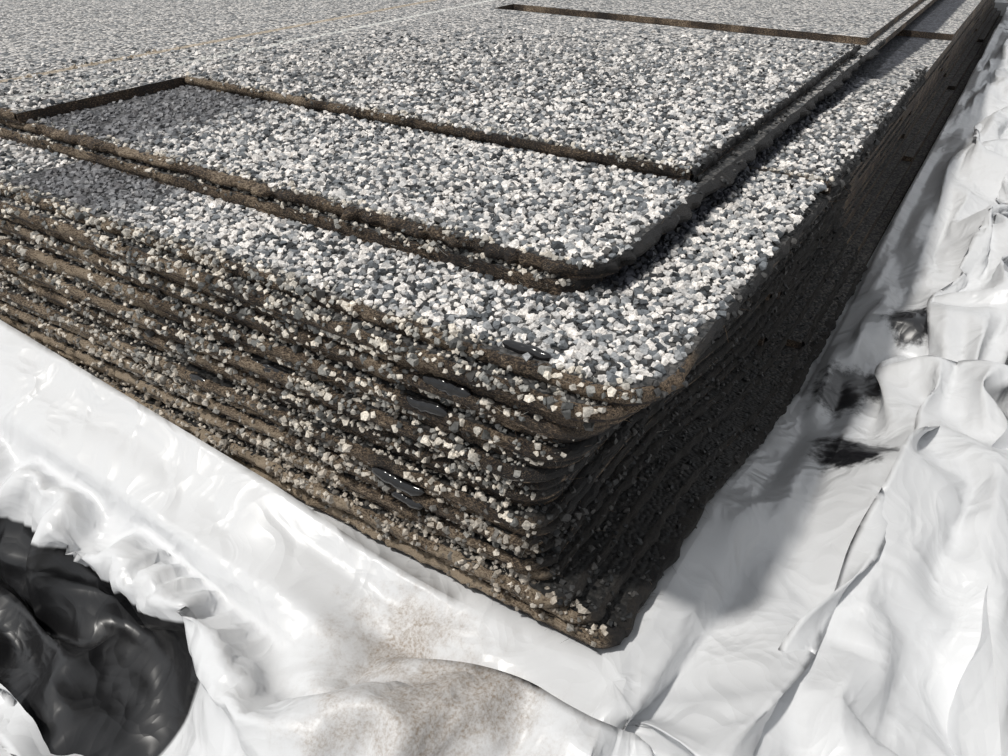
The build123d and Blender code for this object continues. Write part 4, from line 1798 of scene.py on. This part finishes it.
# %% Build the film
INSIDE = 34 * MM
JUST_INSIDE = 3 * MM
inner = np.clip(feet, foot_low + INSIDE, foot_high - INSIDE)
under = np.clip(feet, foot_low + JUST_INSIDE, foot_high - JUST_INSIDE)
halfway = under * 0.5 + inner * 0.5
under_rows = [
    np.column_stack([inner, np.full(len(feet), FILM_Z)]),
    np.column_stack([halfway, 0.5 * (underside - 0.8 * MM) + 0.3 * MM]),
    np.column_stack([under, np.maximum(underside - 0.5 * MM, FILM_Z)]),
    np.column_stack([feet, np.maximum(underside - UNDER_STACK, FILM_Z)]),
]
grid = np.concatenate([np.stack(under_rows, 1), film_places], 1)
on_cut = np.concatenate([np.stack([inner, halfway, under, feet], 1), flat], 1).reshape(-1, 2)
count, depth = grid.shape[:2]
i, j = np.meshgrid(np.arange(count), np.arange(depth - 1), indexing="ij")
nxt = (i + 1) % count
faces = np.stack([i * depth + j, i * depth + j + 1, nxt * depth + j + 1, nxt * depth + j], -1).reshape(-1, 4)
middle_face = list(range(0, count * depth, depth))
film_mesh = bpy.data.meshes.new("wrapper_film")
film_mesh.from_pydata(grid.reshape(-1, 3).tolist(), [], faces.tolist() + [middle_face])
film_mesh.update()
film_mesh.polygons.foreach_set("use_smooth", np.full(len(film_mesh.polygons), True))
corner_numbers = np.empty(len(film_mesh.loops), np.int32)
film_mesh.loops.foreach_get("vertex_index", corner_numbers)
cut = film_mesh.uv_layers.new(name="cut")
cut.data.foreach_set("uv", on_cut[corner_numbers].astype(np.float32).ravel())
film = bpy.data.objects.new("wrapper_film", film_mesh)
bpy.context.scene.collection.objects.link(film)

# %% [markdown]
# ## The film's finish
# White polyethylene with a gloss, a little dusty. Brown dirt has rubbed off on the lump at the corner,
# and black asphalt has smeared the folds on the right. The outer face of the bag has a bare black
# margin, which shows where the film has turned over at the near end.

# %% Marks on the film
WHITE = (0.74, 0.75, 0.765, 1.0)
DIRT = (0.26, 0.195, 0.135, 1.0)
SMUDGE = (0.012, 0.012, 0.014, 1.0)
BLACK_PRINT = (0.012, 0.012, 0.013, 1.0)
# Places on the cut film from the near corner of the foot, radius, grain to the metre: all lengths in mm
DIRTY = (((-27, 19), 25, 80.0), ((-14, 34), 16, 120.0))
SMUDGED = (((96, -22), 13, 80.0), ((140, -14), 15, 70.0), ((185, -26), 12, 70.0))
PRINT_IN, PRINT_OUT, PRINT_END = 38 * MM, 97 * MM, 66 * MM
SHARP = 1 * MM
# In radii of a patch
RAGGED = 2.4
SOFT_INNER, HARD_INNER = 0.1, 0.5

film_finish, tree, shader = material("white film")
cut_place = tree.add("ShaderNodeUVMap", uv_map="cut").outputs[0]
place = tree.place()


def patches(spots, inner):
    """1 in ragged patches on the cut film, full from the inner radius."""
    found = 0.0
    for (dx, dy), radius, grain in spots:
        away = tree.away(cut_place, (x0 + dx * MM, y0 + dy * MM, 0.0))
        away = tree.math("ADD", away, tree.wobble(cut_place, grain, 6.0, radius * MM * RAGGED, 0.7))
        found = tree.math("MAXIMUM", found, tree.span(away, radius * MM, radius * MM * inner))
    return found


specks = tree.span(tree.noise(place, 1700.0, 6.0, 0.8), 0.38, 0.68)
specks = tree.math("ADD", tree.math("MULTIPLY", specks, 0.6), 0.35)
dirt = tree.math("MULTIPLY", patches(DIRTY, SOFT_INNER), specks, clamp=True)
smudge = patches(SMUDGED, HARD_INNER)
cut_x, cut_y = tree.axis(cut_place, 0), tree.axis(cut_place, 1)
in_print = tree.span(cut_x, x0 - PRINT_IN, x0 - PRINT_IN - SHARP)
in_print = tree.math("MULTIPLY", in_print, tree.span(cut_x, x0 - PRINT_OUT, x0 - PRINT_OUT + SHARP))
in_print = tree.math("MULTIPLY", in_print, tree.span(cut_y, y0 + PRINT_END, y0 + PRINT_END + SHARP))
colour = tree.mix(in_print, WHITE, BLACK_PRINT)
colour = tree.mix(dirt, colour, DIRT)
tree.link(tree.mix(smudge, colour, SMUDGE), shader.inputs["Base Color"])
print("dirty and smudged patches:", len(DIRTY) + len(SMUDGED))

# %% [markdown]
# ## Gloss and fine creases
# Clean film has a soft gloss, and dirty film is duller. The finest creases are smaller than the mesh
# can show, so they are a bump: the distances in three sizes of cells, whose borders are bent by noise.
# Cells meet in sharp lines, as creases do, where plain noise would only look wavy.

# %% Gloss and fine creases
FILM_ROUGHNESS = 0.34
DIRT_ROUGHNESS = 0.4
BENDS_A_METRE = 38.0
BENT_BORDERS = (0.035, 0.035, 0.0)
# Cells to the metre and share of the height
CRINKLES = ((55.0, 1.0), (120.0, 0.5), (260.0, 0.22))
CRINKLE_STRENGTH = 0.6
CRINKLE_BUMP = 1.6 * MM

rough = tree.math("ADD", tree.math("MULTIPLY", dirt, DIRT_ROUGHNESS), FILM_ROUGHNESS)
tree.link(rough, shader.inputs["Roughness"])
bends = {"Vector": cut_place, "Scale": BENDS_A_METRE, "Detail": 2.0}
bent = tree.add("ShaderNodeTexNoise", bends).outputs["Color"]
bent = tree.add("ShaderNodeVectorMath", {0: bent, 1: BENT_BORDERS}, operation="MULTIPLY").outputs[0]
bent = tree.add("ShaderNodeVectorMath", {0: cut_place, 1: bent}, operation="ADD").outputs[0]
folds = 0.0
for scale, share in CRINKLES:
    inputs = {"Vector": bent, "Scale": scale, "Randomness": 1.0}
    cells = tree.add("ShaderNodeTexVoronoi", inputs, voronoi_dimensions="2D")
    folds = tree.math("ADD", folds, tree.math("MULTIPLY", cells.outputs["Distance"], share))
tree.link(tree.bump(folds, CRINKLE_STRENGTH, CRINKLE_BUMP), shader.inputs["Normal"])
film_mesh.materials.append(film_finish)
print("sizes of fine creases in mm:", [round(1000 / scale) for scale, _ in CRINKLES])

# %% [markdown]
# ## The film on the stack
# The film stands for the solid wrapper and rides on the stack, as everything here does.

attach(film, "root")
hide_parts("wrapper")
print("declared:", film.name)

# %% [markdown]
# ## The box of all that shows
# The box of all that shows is worked out at the end, as the box of the solids was at the start.

# %% The box of all that shows
low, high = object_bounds()
